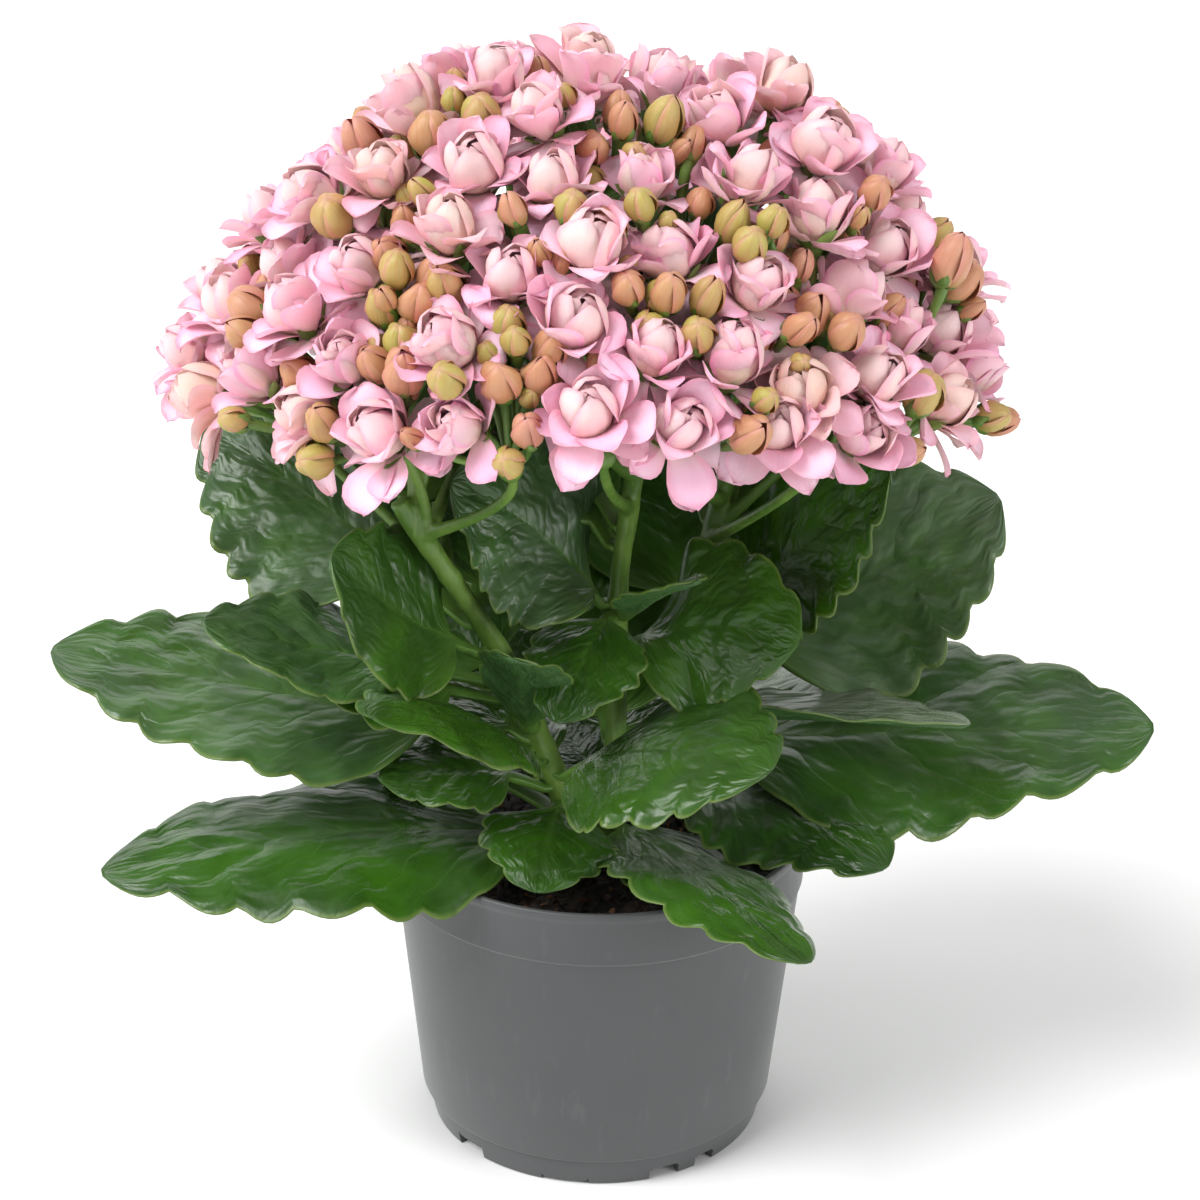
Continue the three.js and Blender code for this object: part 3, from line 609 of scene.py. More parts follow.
PINK = {
    "fresh": (0.95, 0.48, 0.67), "pale": (0.97, 0.68, 0.80), "cream": (0.94, 0.82, 0.68),
    "blush": (0.92, 0.66, 0.64), "foot": (0.90, 0.70, 0.62), "rim": (0.86, 0.27, 0.45),
    "line": (0.86, 0.30, 0.48), "faded": (0.95, 0.72, 0.78), "back_foot": (0.68, 0.52, 0.26),
    "back": (0.86, 0.50, 0.50), "old": (0.74, 0.46, 0.28),
}
PEACH = {
    "deep": (0.48, 0.22, 0.105), "light": (0.56, 0.32, 0.155), "ruddy": (0.58, 0.28, 0.21),
    "olive": (0.32, 0.35, 0.04), "olive_light": (0.48, 0.42, 0.11), "foot": (0.30, 0.32, 0.05),
    "flush": (0.56, 0.23, 0.16), "seam": (0.60, 0.20, 0.18), "tip": (0.72, 0.30, 0.30),
    "line": (0.46, 0.19, 0.08),
}


def moulded_plastic(t):
    place = t.place()
    cloud = t.noise(place, 18, 3)
    grain = t.noise(place, 2600, 2)
    rub = t.noise(t.stretched(place, (1, 1, 0.25)), 260, 4).step(0.58, 0.75)
    colour = t.blend(cloud.step(0.3, 0.7), GREY["plastic"], GREY["clouded"])
    return {
        "Base Color": t.blend(rub * 0.15, colour, GREY["rubbed"]),
        "Roughness": 0.4 + 0.12 * grain + 0.08 * cloud,
        "Normal": t.bump(grain + 2 * cloud, 0.00012, 0.35),
    }


def damp_peat(t):
    place = t.place()
    crumbs = t.cells(place, 420)
    fibre = t.noise(t.stretched(place, (1, 1, 3)), 600, 5)
    patch = t.noise(place, 160, 3)
    colour = t.blend(patch.step(0.4, 0.65), EARTH["wet"], EARTH["damp"])
    return {
        "Base Color": t.blend(fibre.step(0.62, 0.75) * 0.6, colour, EARTH["fibre"]),
        "Roughness": 0.85 + 0.1 * fibre,
        "Normal": t.bump(fibre + 1.2 * crumbs, 0.0009, 0.9),
    }


def peat_chip(t):
    fibre = t.noise(t.stretched(t.place(), (1, 1, 4)), 900, 4)
    bark = t.node("ShaderNodeValToRGB", {"stops": BARK}, {0: t.written("tone")})
    return {
        "Base Color": t.blend(fibre.step(0.35, 0.7) * 0.5, bark, EARTH["crack"]),
        "Roughness": 0.7 + 0.25 * fibre,
        "Normal": t.bump(fibre, 0.0005, 0.8),
    }


def green_stalk(t):
    place = t.place()
    cloud = t.noise(place, 90, 3)
    thread = t.noise(t.stretched(place, (1, 1, 0.12)), 900, 3)
    colour = t.blend(cloud.step(0.35, 0.7), GREEN["stalk"], GREEN["stalk_light"])
    return {
        "Base Color": t.blend(thread.step(0.5, 0.8) * 0.4, colour, GREEN["thread"]),
        "Roughness": 0.36 + 0.14 * cloud,
        "Normal": t.bump(thread, 0.0002, 0.5),
    }


def waxy_leaf(t):
    place = t.place()
    run = t.written("run")
    aside = abs(t.written("aside"))
    under = t.written("under").step(0.4, 0.6)
    pale = t.written("pale")
    silver = t.written("silver")
    own = t.written("own")
    cloud = t.noise(place, 55, 3)
    fleck = t.noise(place, 900, 3)
    dull = t.noise(place, 24, 2)
    on_blade = run.step(-0.08, 0.16)

    # Side veins leave the midrib forwards, and the blade is puckered between them
    way = run * 6.5 - aside * 2.4 + cloud * 1.1 + own
    between = abs((way * math.pi).sine())
    blister = t.noise(t.vector(way * 1.3, aside * 4.2, own * 9), 1.3, 1.0)
    wrinkle = t.noise(place, 240, 2)
    rib = (1 - aside.step(0.0, 0.09)) * (1 - run.step(0.1, 0.9))
    net = (1 - between.step(0.0, 0.22)) * (1 - run.step(0.1, 0.9)) * (1 - aside.step(0.5, 1.0))

    body = t.blend(cloud.step(0.38, 0.68), GREEN["deep"], GREEN["mid"])
    # Paler green: the leaf's own tone, and painted light on the upright leaves that lie in the dome's shade
    body = t.blend(pale * (0.35 + 0.5 * cloud), body, GREEN["pale_green"])
    # Painted sheen: a grey-green reflection painted into the colour, in patches and on the puckers
    sheen = t.blend(silver.step(0.8, 1.0), GREEN["painted_sheen_dim"], GREEN["silver"])
    body = t.blend(silver * (0.2 + 0.4 * dull.step(0.3, 0.7) + 0.3 * blister.step(0.4, 0.7)), body, sheen)
    body = t.blend((net * 0.3 + rib * 0.6).least(0.8), body, GREEN["vein"])
    body = t.blend(aside.step(0.955, 1.0) * 0.75, body, GREEN["rim"])
    back = t.blend(net * 0.5 + rib * 0.4, GREEN["back"], GREEN["back_vein"])
    colour = t.blend(under, body, back)
    relief = (between ** 0.6 * 0.45 + blister * 1.9 + wrinkle * 0.45) * on_blade + fleck * 0.06
    return {
        "Base Color": t.blend(1 - on_blade, colour, GREEN["foot"]),
        "Roughness": 0.23 + 0.07 * fleck + 0.14 * dull.step(0.35, 0.7) + 0.12 * under,
        "Normal": t.bump(relief, 0.0013, 0.4),
    }


def silky_petal(t):
    along = t.written("along")
    aside = abs(t.written("aside"))
    tier = t.written("tier")
    under = t.written("under").step(0.3, 0.7)
    shade = t.written("shade")
    tone = t.written("tone")
    cloud = t.noise(t.place(), 190, 2)
    lines = t.noise(t.vector(t.written("aside") * 9 + shade * 40, along * 1.3, tier), 1.0, 3)
    fresh = t.blend(shade * 0.8, PINK["fresh"], PINK["pale"])
    cream = t.blend(cloud, PINK["cream"], PINK["blush"])
    heart = 1 - tier.step(0.2, 0.9)
    body = t.blend(heart * (0.5 + 0.5 * tone), fresh, cream)
    body = t.blend((1 - along.step(0.05, 0.6)) * 0.6, body, PINK["foot"])
    rim = aside.step(0.55, 1.0).most(along.step(0.8, 1.0) * 0.8)
    body = t.blend(rim * (0.3 + 0.5 * lines), body, PINK["rim"])
    body = t.blend(lines.step(0.5, 0.85) * 0.3, body, PINK["line"])
    body = t.blend((tone - 0.45).most(0) * 0.5 * shade, body, PINK["faded"])
    back = t.blend(along.step(0.1, 0.8), PINK["back_foot"], PINK["back"])
    colour = t.blend(under * (0.3 + 0.4 * shade), body, back)
    old = (tone - 0.78).most(0) * 2.2 * (0.4 + 0.6 * shade)
    return {
        "Base Color": t.blend(old.least(0.6), colour, PINK["old"]),
        "Roughness": 0.46 + 0.12 * cloud,
        "Normal": t.bump(lines + cloud, 0.00022, 0.5),
    }


def closed_bud(t):
    along = t.written("along")
    seam = abs(t.written("aside"))
    shade = t.written("shade")
    tone = t.written("tone")
    cloud = t.noise(t.place(), 260, 3)
    lines = t.noise(t.vector(t.written("aside") * 8 + shade * 40, along * 1.5, tone), 1.0, 3)
    ripe = t.blend(cloud, PEACH["deep"], PEACH["light"])
    ripe = t.blend(tone.step(0.7, 1.0) * 0.6, ripe, PEACH["ruddy"])
    unripe = t.blend(cloud, PEACH["olive"], PEACH["olive_light"])
    body = t.blend(tone.step(0.2, 0.55), unripe, ripe)
    body = t.blend((1 - along.step(0.1, 0.5)) * 0.75, body, PEACH["foot"])
    body = t.blend(shade * 0.4, body, PEACH["flush"])
    body = t.blend(seam.step(0.6, 1.0) * 0.55, body, PEACH["seam"])
    body = t.blend(along.step(0.8, 1.0) * 0.4, body, PEACH["tip"])
    return {
        "Base Color": t.blend(lines.step(0.45, 0.8) * 0.5, body, PEACH["line"]),
        "Roughness": 0.38 + 0.14 * cloud,
        "Normal": t.bump(lines + cloud, 0.0003, 0.5),
    }


PLASTIC = finish("satin_plastic", moulded_plastic, Coat_Weight=0.12, Coat_Roughness=0.35,
                 Sheen_Weight=0.35, Sheen_Roughness=0.35)
PEAT_BED = finish("damp_peat", damp_peat)
CHIP = finish("peat_chip", peat_chip)
STALK = finish("green_stalk", green_stalk)
BLADE = finish("waxy_leaf", waxy_leaf, Specular_IOR_Level=0.42)
PETAL = finish("silky_petal", silky_petal, Subsurface_Weight=0.3, Subsurface_Scale=0.004,
               Subsurface_Radius=(1.0, 0.5, 0.45), Specular_IOR_Level=0.35)
BUD = finish("closed_bud", closed_bud, Subsurface_Weight=0.1, Subsurface_Scale=0.002)


# The pot

BAND_FOOT = POT["height"] - POT["band_height"]


def wall_radius(z):
    low, high = POT["ledge"], POT["band"] - POT["band_proud"]
    return low + (high - low) * (z - POT["ledge_height"]) / (BAND_FOOT - POT["ledge_height"])


def inner_radius(z):
    return wall_radius(z) - POT["wall"]


def pot_moulding():
    """The wall revolved from its profile, with a rolled lip, two ledges, notches and drain holes."""
    foot_inner = POT["foot"] - POT["foot_width"]
    floor_top = POT["floor"] + POT["wall"]
    lip = POT["lip"]
    top = POT["height"]
    roll = 0.7
    rolled = [
        (lip - roll + roll * math.cos(a), top - roll + roll * math.sin(a))
        for a in np.linspace(0, math.pi / 2, 5)
    ]
    ledge, low = POT["ledge"], POT["ledge_height"]
    profile = [
        (0, POT["floor"]), (foot_inner - 0.4, POT["floor"]), (foot_inner, POT["floor"] - 0.4),
        (foot_inner, 0.3), (foot_inner + 0.3, 0), (POT["foot"] - 0.4, 0), (POT["foot"], 0.4),
        (ledge - 1.1, low - 0.9), (ledge - 0.5, low - 0.5), (ledge - 0.12, low - 0.25), (ledge, low),
        (wall_radius(30), 30), (wall_radius(BAND_FOOT - 0.4), BAND_FOOT - 0.4),
        (POT["band"] - 0.25, BAND_FOOT), (POT["band"], BAND_FOOT + 0.35),
        (POT["band"], top - 3.4), (POT["band"] + 0.15, top - 2.6), (lip - 0.1, top - 1.9), (lip, top - 1.5),
        *rolled,
        (inner_radius(top) + 0.2, top), (inner_radius(top) - 0.35, top - 0.5),
        (inner_radius(BAND_FOOT), BAND_FOOT), (inner_radius(floor_top + 1.5), floor_top + 1.5),
        (inner_radius(floor_top) - 1.2, floor_top), (0, floor_top),
    ]
    points = revolved(profile, POT["sides"])
    mesh = weld(sheet_mesh("pot_wall", points, loft(len(profile), POT["sides"], closed_ends=False)))
    cutters = [box_cutter(*notch) for notch in NOTCHES]
    cutters += [hole_cutter(k * 2 * math.pi / DRAIN["count"]) for k in range(DRAIN["count"])]
    return carved(mesh, cutters)


def box_cutter(degrees, width, height):
    work = bmesh.new()
    bmesh.ops.create_cube(work, size=1)
    turn = Matrix.Rotation(math.radians(degrees), 4, "Z")
    shape = Matrix.Diagonal((4 * POT["foot_width"] * MM, width * MM, 2 * height * MM, 1))
    work.transform(turn @ Matrix.Translation((POT["foot"] * MM, 0, 0)) @ shape)
    upright = [e for e in work.edges if abs(e.verts[0].co.z - e.verts[1].co.z) < 1e-9]
    top = [e for e in upright if e.verts[0].co.z > 0 and e.calc_length() > 3 * POT["foot_width"] * MM]
    bmesh.ops.bevel(work, geom=top, offset=0.6 * MM, segments=3, affect="EDGES")
    return cutter_object(work)


def hole_cutter(turn):
    work = bmesh.new()
    radius = DRAIN["radius"] * MM
    bmesh.ops.create_cone(
        work, cap_ends=True, segments=28, radius1=radius, radius2=radius, depth=4 * POT["floor"] * MM)
    ring = DRAIN["ring"] * MM
    work.transform(Matrix.Translation((ring * math.cos(turn), ring * math.sin(turn), POT["floor"] * MM)))
    return cutter_object(work)


def cutter_object(work):
    mesh = bpy.data.meshes.new("cutter")
    work.to_mesh(mesh)
    work.free()
    return placed("cutter", mesh)


def carved(mesh, cutters):
    """The mesh with every cutter taken out of it."""
    stand = placed("carved", mesh)
    for cutter in cutters:
        cut = stand.modifiers.new("cut", "BOOLEAN")
        cut.operation = "DIFFERENCE"
        cut.solver = "EXACT"
        cut.object = cutter
    result = evaluated(stand)
    for helper in [stand, *cutters]:
        bpy.data.objects.remove(helper)
    return result


pot = stand_up("pot_moulding", pot_moulding(), SHARP["pot"])
pot.data.materials.clear()
pot.data.materials.append(PLASTIC)
hand_over(pot, "pot", "pot")


# The peat, and the chips of bark and fibre that lie on it

def peat_height(x, y):
    """The uneven top of the peat, before its edge drops to the wall."""
    lumps = 0.5 * np.sin(0.31 * x + 1.7) * np.cos(0.27 * y) + 0.35 * np.sin(0.83 * x - 0.6 * y)
    crumbs = 0.3 * np.sin(1.9 * x + 0.7 * y) * np.cos(1.7 * y - 0.4 * x)
    return PEAT["level"] + PEAT["crumb"] * 0.6 * (lumps + crumbs)


def peat_bed():
    floor = POT["floor"] + POT["wall"] + LEAF["gap"]
    rim = inner_radius(PEAT["level"]) - LEAF["gap"]
    turns = round_turns(PEAT["sides"])
    rings = [(0.0, floor), (inner_radius(floor) - LEAF["gap"] - 1.0, floor), (rim - 0.8, PEAT["level"] - 3)]
    points = revolved(rings, PEAT["sides"])
    for share in np.linspace(1, 0, PEAT["rings"]):
        radius = (rim - 0.4) * share
        drop = PEAT["edge_drop"] * smooth(share, 0.86, 1.0)
        for a in turns:
            x, y = radius * math.cos(a), radius * math.sin(a)
            points.append((x, y, peat_height(x, y) - drop))
    count = len(rings) + PEAT["rings"]
    return weld(sheet_mesh("peat_bed", points, loft(count, PEAT["sides"], closed_ends=False)))


def chip_mesh(name, lengths, seed):
    """A torn scrap of peat or bark, of a few dozen faces."""
    work = bmesh.new()
    bmesh.ops.create_icosphere(work, subdivisions=1, radius=1)
    draw = draws(seed)
    for vertex in work.verts:
        rough = 0.7 + 0.5 * next(draw)
        vertex.co = Vector([c * rough * length * MM for c, length in zip(vertex.co, lengths)])
    mesh = bpy.data.meshes.new(name)
    work.to_mesh(mesh)
    work.free()
    return mesh


def helper_set(name, meshes):
    """A set of objects for a recipe to pick from, in the order of their names."""
    group = bpy.data.collections.new(name)
    for index, mesh in enumerate(meshes):
        group.objects.link(bpy.data.objects.new(f"{name}_{index}", mesh))
    return group


def clear_set(group):
    for helper in list(group.objects):
        bpy.data.objects.remove(helper)
    bpy.data.collections.remove(group)


def scatter(t, put):
    upward = t.node("ShaderNodeSeparateXYZ", None, {0: t.node("GeometryNodeInputNormal")}, 2)
    height = t.node("ShaderNodeSeparateXYZ", None, {0: t.node("GeometryNodeInputPosition")}, 2)
    level = upward.maths("GREATER_THAN", upward, LAID["level"])
    top = height.maths("GREATER_THAN", height, LAID["above"])
    sockets = {
        "Mesh": put["Geometry"], "Density": put["density"], "Seed": put["seed"], "Selection": level * top,
    }
    spots = t.node("GeometryNodeDistributePointsOnFaces", {"distribute_method": "RANDOM"}, sockets)
    full = 2 * math.pi
    turn = t.vector(t.chance(0, full, 3), t.chance(0, full, 4), t.chance(0, full, 5))
    sockets = {
        "Points": spots, "Instance": t.set_of(put["chips"]), "Pick Instance": True,
        "Instance Index": t.pick(6), "Rotation": t.node("FunctionNodeEulerToRotation", None, {0: turn}),
        "Scale": t.chance(*LAID["size"], 7),
    }
    laid = t.note(t.node("GeometryNodeInstanceOnPoints", None, sockets), "tone", t.chance(0, 1, 8) ** 1.6)
    return t.finished(laid, put["bark"])


bed_mesh = peat_bed()
scraps = helper_set("scrap", [chip_mesh(form, *row) for form, row in SCRAPS.items()])
scatter_recipe = Recipe(
    "peat_scatter", {"chips": "set", "density": "number", "seed": "count", "bark": "finish"}, scatter)
chips_mesh = scatter_recipe.make(
    "peat_chips", bed_mesh.copy(), chips=scraps, density=LAID["density"], seed=LAID["seed"],
    bark=CHIP)
clear_set(scraps)
bed_mesh.materials.append(PEAT_BED)
hand_over(stand_up("peat_bed", bed_mesh, SHARP["peat"]), "soil", "soil")
hand_over(stand_up("peat_chips", chips_mesh, SHARP["chips"]), "soil", "soil")


# Stems

def stem_point(name, z):
    stations = np.array(STEMS[name], float)
    return np.array([np.interp(z, stations[:, 2], stations[:, k]) for k in range(3)])


def stem_radius(z):
    share = (z - STEM["foot"]) / (STEM["top"] - STEM["foot"])
    return STEM["base"] + (STEM["tip"] - STEM["base"]) * share


def cyme_stand(crown):
    """The axis of a cyme, and the hub that its branch ends at."""
    top = np.array(crown, float)
    axis = unit(top - AIM)
    return top, axis, top - axis * HEAD["hub_depth"]


def branch_path(stem, fork, crown):
    _, axis, hub = cyme_stand(crown)
    end = hub - axis * (HEAD["hub"] - BRANCH["into_hub"])
    bend = end - axis * STEM["bend"]
    t = np.linspace(0, 1, BRANCH["steps"])[:, None]
    return bezier(stem_point(stem, fork), bend, end, t)


def stalk_mesh(name):
    """A stem with its branches, melted into one skin."""
    first, last = STEMS[name][0][2], STEMS[name][-1][2]
    heights = np.arange(first, last + 0.1, STEM["step"])
    path = np.array([stem_point(name, z) for z in heights])

    # Its corners are eased over a few steps to either side
    reach = STEM["eased_over"]
    kernel = np.exp(-(np.arange(-reach, reach + 1) / (reach / 2)) ** 2)
    padded = np.pad(path, ((reach, reach), (0, 0)), mode="reflect", reflect_type="odd")
    path = np.column_stack([np.convolve(padded[:, k], kernel / kernel.sum(), "valid") for k in range(3)])
    nodes = [row[2] for row in LEAVES if row[1] == name] + [row[2] for row in CYMES if row[1] == name]
    knots = sum(STEM["knot"] * 0.6 * np.exp(-((heights - z) / STEM["knot_length"]) ** 2) for z in nodes)
    radii = STEM["skin"] * stem_radius(heights) + np.minimum(knots, STEM["knot"])

    points = [tube_points(path, radii, STEM["sides"])]
    faces = [loft(len(path), STEM["sides"])]
    for _, stem, fork, crown, *_ in CYMES:
        if stem != name:
            continue
        way = branch_path(stem, fork, crown)
        share = np.linspace(0, 1, len(way))
        root = BRANCH["root"] * np.exp(-share / BRANCH["root_share"])
        thick = STEM["branch"] * (BRANCH["thick"] + root - BRANCH["thinner"] * share)
        points.append(tube_points(way, thick, BRANCH["sides"]))
        faces.append(loft(len(way), BRANCH["sides"]))
    offset = 0
    every = []
    for part, sheet in zip(points, faces):
        every += [tuple(k + offset for k in face) for face in sheet]
        offset += len(part)
    stand = placed(name, weld(sheet_mesh(name, np.vstack(points), every), 1e-6))
    melt = stand.modifiers.new("melt", "REMESH")
    melt.mode = "VOXEL"
    melt.voxel_size = STEM["grain"] * MM
    ease = stand.modifiers.new("ease", "SMOOTH")
    ease.factor = 0.5
    ease.iterations = 3
    result = evaluated(stand)
    bpy.data.objects.remove(stand)
    result.materials.append(STALK)
    return result


for stem_name in STEMS:
    stalk = stand_up(f"stalk_{stem_name}", stalk_mesh(stem_name))
    hand_over(stalk, "stem", f"stem_{stem_name}")


# Leaves

Leaf = namedtuple("Leaf", "name stem height tip arch sweep width roll cup stalk lobes")


def leaf_ways(leaf):
    """Start, bend and tip of a leaf's midrib, and its level and outward directions."""
    tip = np.array(leaf.tip, float)
    node = stem_point(leaf.stem, leaf.height)
    heading = math.atan2(tip[1] - node[1], tip[0] - node[0])
    level = np.array((math.sin(heading), -math.cos(heading), 0.0))
    outward = np.array((math.cos(heading), math.sin(heading), 0.0))
    rise = (tip[2] - node[2]) / np.linalg.norm(tip - node)
    clear = stem_radius(leaf.height) + LEAF["gap"] + 0.5 * LEAF["rib"] * abs(rise) + LEAF["node_gap"]
    start = node + outward * clear
    chord_up = np.cross(level, unit(tip - start))
    bend = (start + tip) / 2 + chord_up * leaf.arch + level * leaf.sweep
    return start, bend, tip, level, outward


def leaf_frames(leaf, ways, s):
    """The midrib's points, and the blade's sideways and upward directions at them."""
    start, bend, tip, level, outward = ways
    t = s[:, None]
    held = np.maximum(t, 0)
    middle = bezier(start, bend, tip, held)
    along = units(2 * (1 - held) * (bend - start) + 2 * held * (tip - bend))
    middle = middle + np.minimum(t, 0) * np.linalg.norm(tip - start) * outward
    side = units(level - along * (along @ level)[:, None])
    normal = np.cross(side, along)
    turn = (math.radians(leaf.roll) * np.clip(s / LEAF["roll_share"], 0, 1))[:, None]
    return middle, side * np.cos(turn) + normal * np.sin(turn), normal * np.cos(turn) - side * np.sin(turn)


def leaf_half_widths(leaf, run, lobes, index):
    """Half the leaf's width along it, with the lobes of its edge."""
    u = np.clip(run, 1e-6, 1)
    blunt = LEAF["roundness"] - LEAF["blunt_tip"] * smooth(u, 0.6, 1.0)
    outline = np.sin(math.pi * u ** LEAF["fullness"]) ** blunt
    uneven = LOBE["uneven"] * np.sin(17 * u + index)
    scallop = np.abs(np.sin(math.pi * lobes * (u + uneven))) ** LOBE["round"]
    depth = LOBE["depth"] + LOBE["deeper"] * smooth(u, 0.1, 0.4) + LOBE["deepest"] * smooth(u, 0.6, 0.9)
    lobe = 1 + depth * (scallop - LEAF["lobe_mean"])
    half = np.maximum(LEAF["petiole"] * (1 - u), 0.5 * leaf.width * outline * lobe)
    return np.where(run <= 0, LEAF["petiole"], half)[:, None]


def leaf_lift(leaf, s, run, signed, half, lobes, index):
    """How high the blade lies over its midrib: its cup and waves, and bulges between the veins."""
    wave = LEAF["wave"] * np.sin(
        2 * math.pi * LEAF["waves"] * s[:, None] + index + np.where(signed > 0, 2, 0))
    lift = half * signed ** 2 * (leaf.cup + wave)
    blade = smooth(run, 0.0, LEAF["opens"])[:, None]
    open_tip = (1 - smooth(run, 0.86, 1.0))[:, None]
    aside = np.abs(signed)
    length = run[:, None]

    # The veins leave the midrib forwards and end in the lobes
    sway = 0.35 * np.sin(5.1 * length + 1.7 * index + 0.8 * signed) + 0.2 * np.sin(11 * length + 3 * signed)
    phase = QUILT["veins"] * lobes * (length - QUILT["vein_lean"] * aside ** 0.8) + 0.4 * sway
    quilt = np.abs(np.sin(math.pi * phase))
    size = min(1.0, leaf.width / QUILT["full_width"])
    field = size * blade * open_tip
    bulge = np.sin(math.pi * np.clip(aside, 0, 1) ** 0.8) ** 0.7
    lift = lift + field * bulge * QUILT["swell"] * (quilt ** 0.8 - 0.6)
    puckers = np.sin(23 * length + 4 * signed + index) * np.sin(7.5 * signed + 9 * length)
    lift = lift + field * bulge * QUILT["pucker"] * puckers
    roll_over = np.sin(4.1 * length + 2.2 * signed + 0.9 * index) * smooth(aside, 0.2, 1.0)
    lift = lift + field * QUILT["roll"] * roll_over
    lift = lift - QUILT["groove"] * field * np.exp(-(signed * half / QUILT["groove_width"]) ** 2)
    flutter = QUILT["flutter"] * field * smooth(aside, 0.6, 1.0)
    lift = lift + flutter * np.sin(math.pi * lobes * 2 * length + 1.3 * index)
    return lift - QUILT["edge"] * size * blade * smooth(aside, 0.9, 1.0)


def leaf_thickness(s, blade, signed, half):
    """A round stalk that turns into a thin blade with a ridge along its midrib."""
    rib = LEAF["rib"] + (LEAF["blade"] - LEAF["rib"]) * np.clip(s, 0, 1)
    ridge = np.exp(-(signed * half / LEAF["rib"]) ** 2)
    thin = LEAF["blade"] * 1.05 * (1 - 0.5 * np.abs(signed) ** 6) + (rib[:, None] - LEAF["blade"]) * ridge
    round_stalk = LEAF["rib"] * 1.15 * np.sqrt(1 - (0.93 * signed) ** 2)
    return blade * thin + (1 - blade) * round_stalk


def leaf_mesh(row, index, per_lobe=LEAF["per_lobe"], columns=LEAF["columns"]):
    """A leaf: a stalk that widens into a lobed, quilted blade on an arched midrib."""
    leaf = Leaf(*row)
    ways = leaf_ways(leaf)
    start, _, tip, *_ = ways
    lobes = round(LEAF["lobe_share"] * leaf.lobes)
    root = np.array(LEAF["root"]) / np.linalg.norm(tip - start)
    blade_run = np.linspace(0, 1, per_lobe * lobes + 1)
    blade_run[-1] = LEAF["end"]
    on_stalk = np.linspace(0, leaf.stalk, 7)[:-1]
    s = np.concatenate([root, on_stalk, leaf.stalk + (1 - leaf.stalk) * blade_run])
    run = (s - leaf.stalk) / (1 - leaf.stalk)
    v = np.sin(np.linspace(-1, 1, columns) * math.pi / 2) * 0.55 + np.linspace(-1, 1, columns) * 0.45
    signed = v[None, :]

    middle, side, normal = leaf_frames(leaf, ways, s)
    half = leaf_half_widths(leaf, run, lobes, index)
    lift = leaf_lift(leaf, s, run, signed, half, lobes, index)
    top = middle[:, None, :] + side[:, None, :] * (half * signed)[..., None]
    top = top + normal[:, None, :] * lift[..., None]
    skin = np.cross(np.gradient(top, axis=1), np.gradient(top, axis=0))
    area = np.linalg.norm(skin, axis=2, keepdims=True)
    face_up = np.where(area > 1e-4, skin / np.maximum(area, 1e-9), normal[:, None, :])
    face_up = face_up * np.sign((face_up * normal[:, None, :]).sum(axis=2, keepdims=True) + 1e-9)

    rows = len(s)
    blade = smooth(run, 0.0, LEAF["opens"])[:, None]
    thick = leaf_thickness(s, blade, signed, half)
    crown = (1 - blade) * 0.35 * (1 - signed ** 2)
    tip_thin = np.where(np.arange(rows) == rows - 1, 0.35, 1.0)[:, None]
    top = top + face_up * crown[..., None]
    bottom = top - face_up * (thick * tip_thin)[..., None]
    edge = 0.5 * (top[:, [0, -1]] + bottom[:, [0, -1]])
    edge_out = np.stack([-side, side], axis=1) * (0.3 * blade[..., None] + 0.15)
    edge = edge + edge_out * tip_thin[..., None]

    ring = np.concatenate([top, edge[:, 1:2], bottom[:, ::-1], edge[:, 0:1]], axis=1)
    across_ring = np.concatenate([v, [1.0], v[::-1], [-1.0]])
    lower = np.concatenate([np.zeros(columns), [0.5], np.ones(columns), [0.5]])
    lower = np.where(np.abs(across_ring) > 0.999, 0.0, lower)
    # Leaves not listed get a plain paleness and a little painted sheen
    plain = (0.1 + 0.25 * ((index * 0.37) % 1), 0.15 * ((index * 0.61) % 1))
    pale, silver = LEAF_TONES.get(leaf.name, plain)
    count = len(across_ring)
    total = rows * count
    mesh = sheet_mesh(
        leaf.name, ring.reshape(-1, 3), loft(rows, count), run=np.repeat(run, count),
        aside=np.tile(across_ring, rows), under=np.tile(lower, rows), pale=np.full(total, pale),
        silver=np.full(total, silver), own=np.full(total, (index * 0.618) % 1))
    mesh.materials.append(BLADE)
    return weld(mesh, LEAF_WELD)


def joined_mesh(name, meshes):
    """One mesh of several that share a finish."""
    work = bmesh.new()
    for mesh in meshes:
        work.from_mesh(mesh)
    whole = bpy.data.meshes.new(name)
    work.to_mesh(whole)
    work.free()
    whole.materials.append(meshes[0].materials[0])
    return whole


for leaf_index, leaf_row in enumerate(LEAVES):
    foliage = stand_up(f"foliage_{leaf_row[0]}", leaf_mesh(leaf_row, leaf_index))
    hand_over(foliage, "leaf", f"leaf_{leaf_row[0]}")


for stem_name, tufts in SHOOTS.items():
    sprouts = []
    for k, (height, tip, width) in enumerate(tufts):
        form = [SHOOT[key] for key in ("roll", "cup", "stalk", "lobes")]
        sprout = (f"tuft_{k}", stem_name, height, tip, SHOOT["arch"], SHOOT["sweep"], width, *form)
        sprouts.append(leaf_mesh(sprout, SHOOT["first"] + k, SHOOT["per_lobe"], SHOOT["columns"]))
    shoots = joined_mesh(f"shoots_{stem_name}", sprouts)
    hand_over(stand_up(f"shoots_{stem_name}", shoots), "leaf")


# Where the flower heads stand, as the solids have them

class Head:
    """A bloom or a bud: its place on the dome, its room, its axis and its cyme."""

    def __init__(self, top, place, blooming):
        self.top = top
        self.place = place
        self.blooming = blooming
        self.room = HEAD["bloom_room"] if blooming else HEAD["bud_room"]
        self.shell = self.lowest = self.spin = 0.0
        self.cyme = self.hub = self.axis = None
        self.size = 1.0


def shell_of(place):
    return np.linalg.norm((place - DOME_MIDDLE) / DOME_HALF)


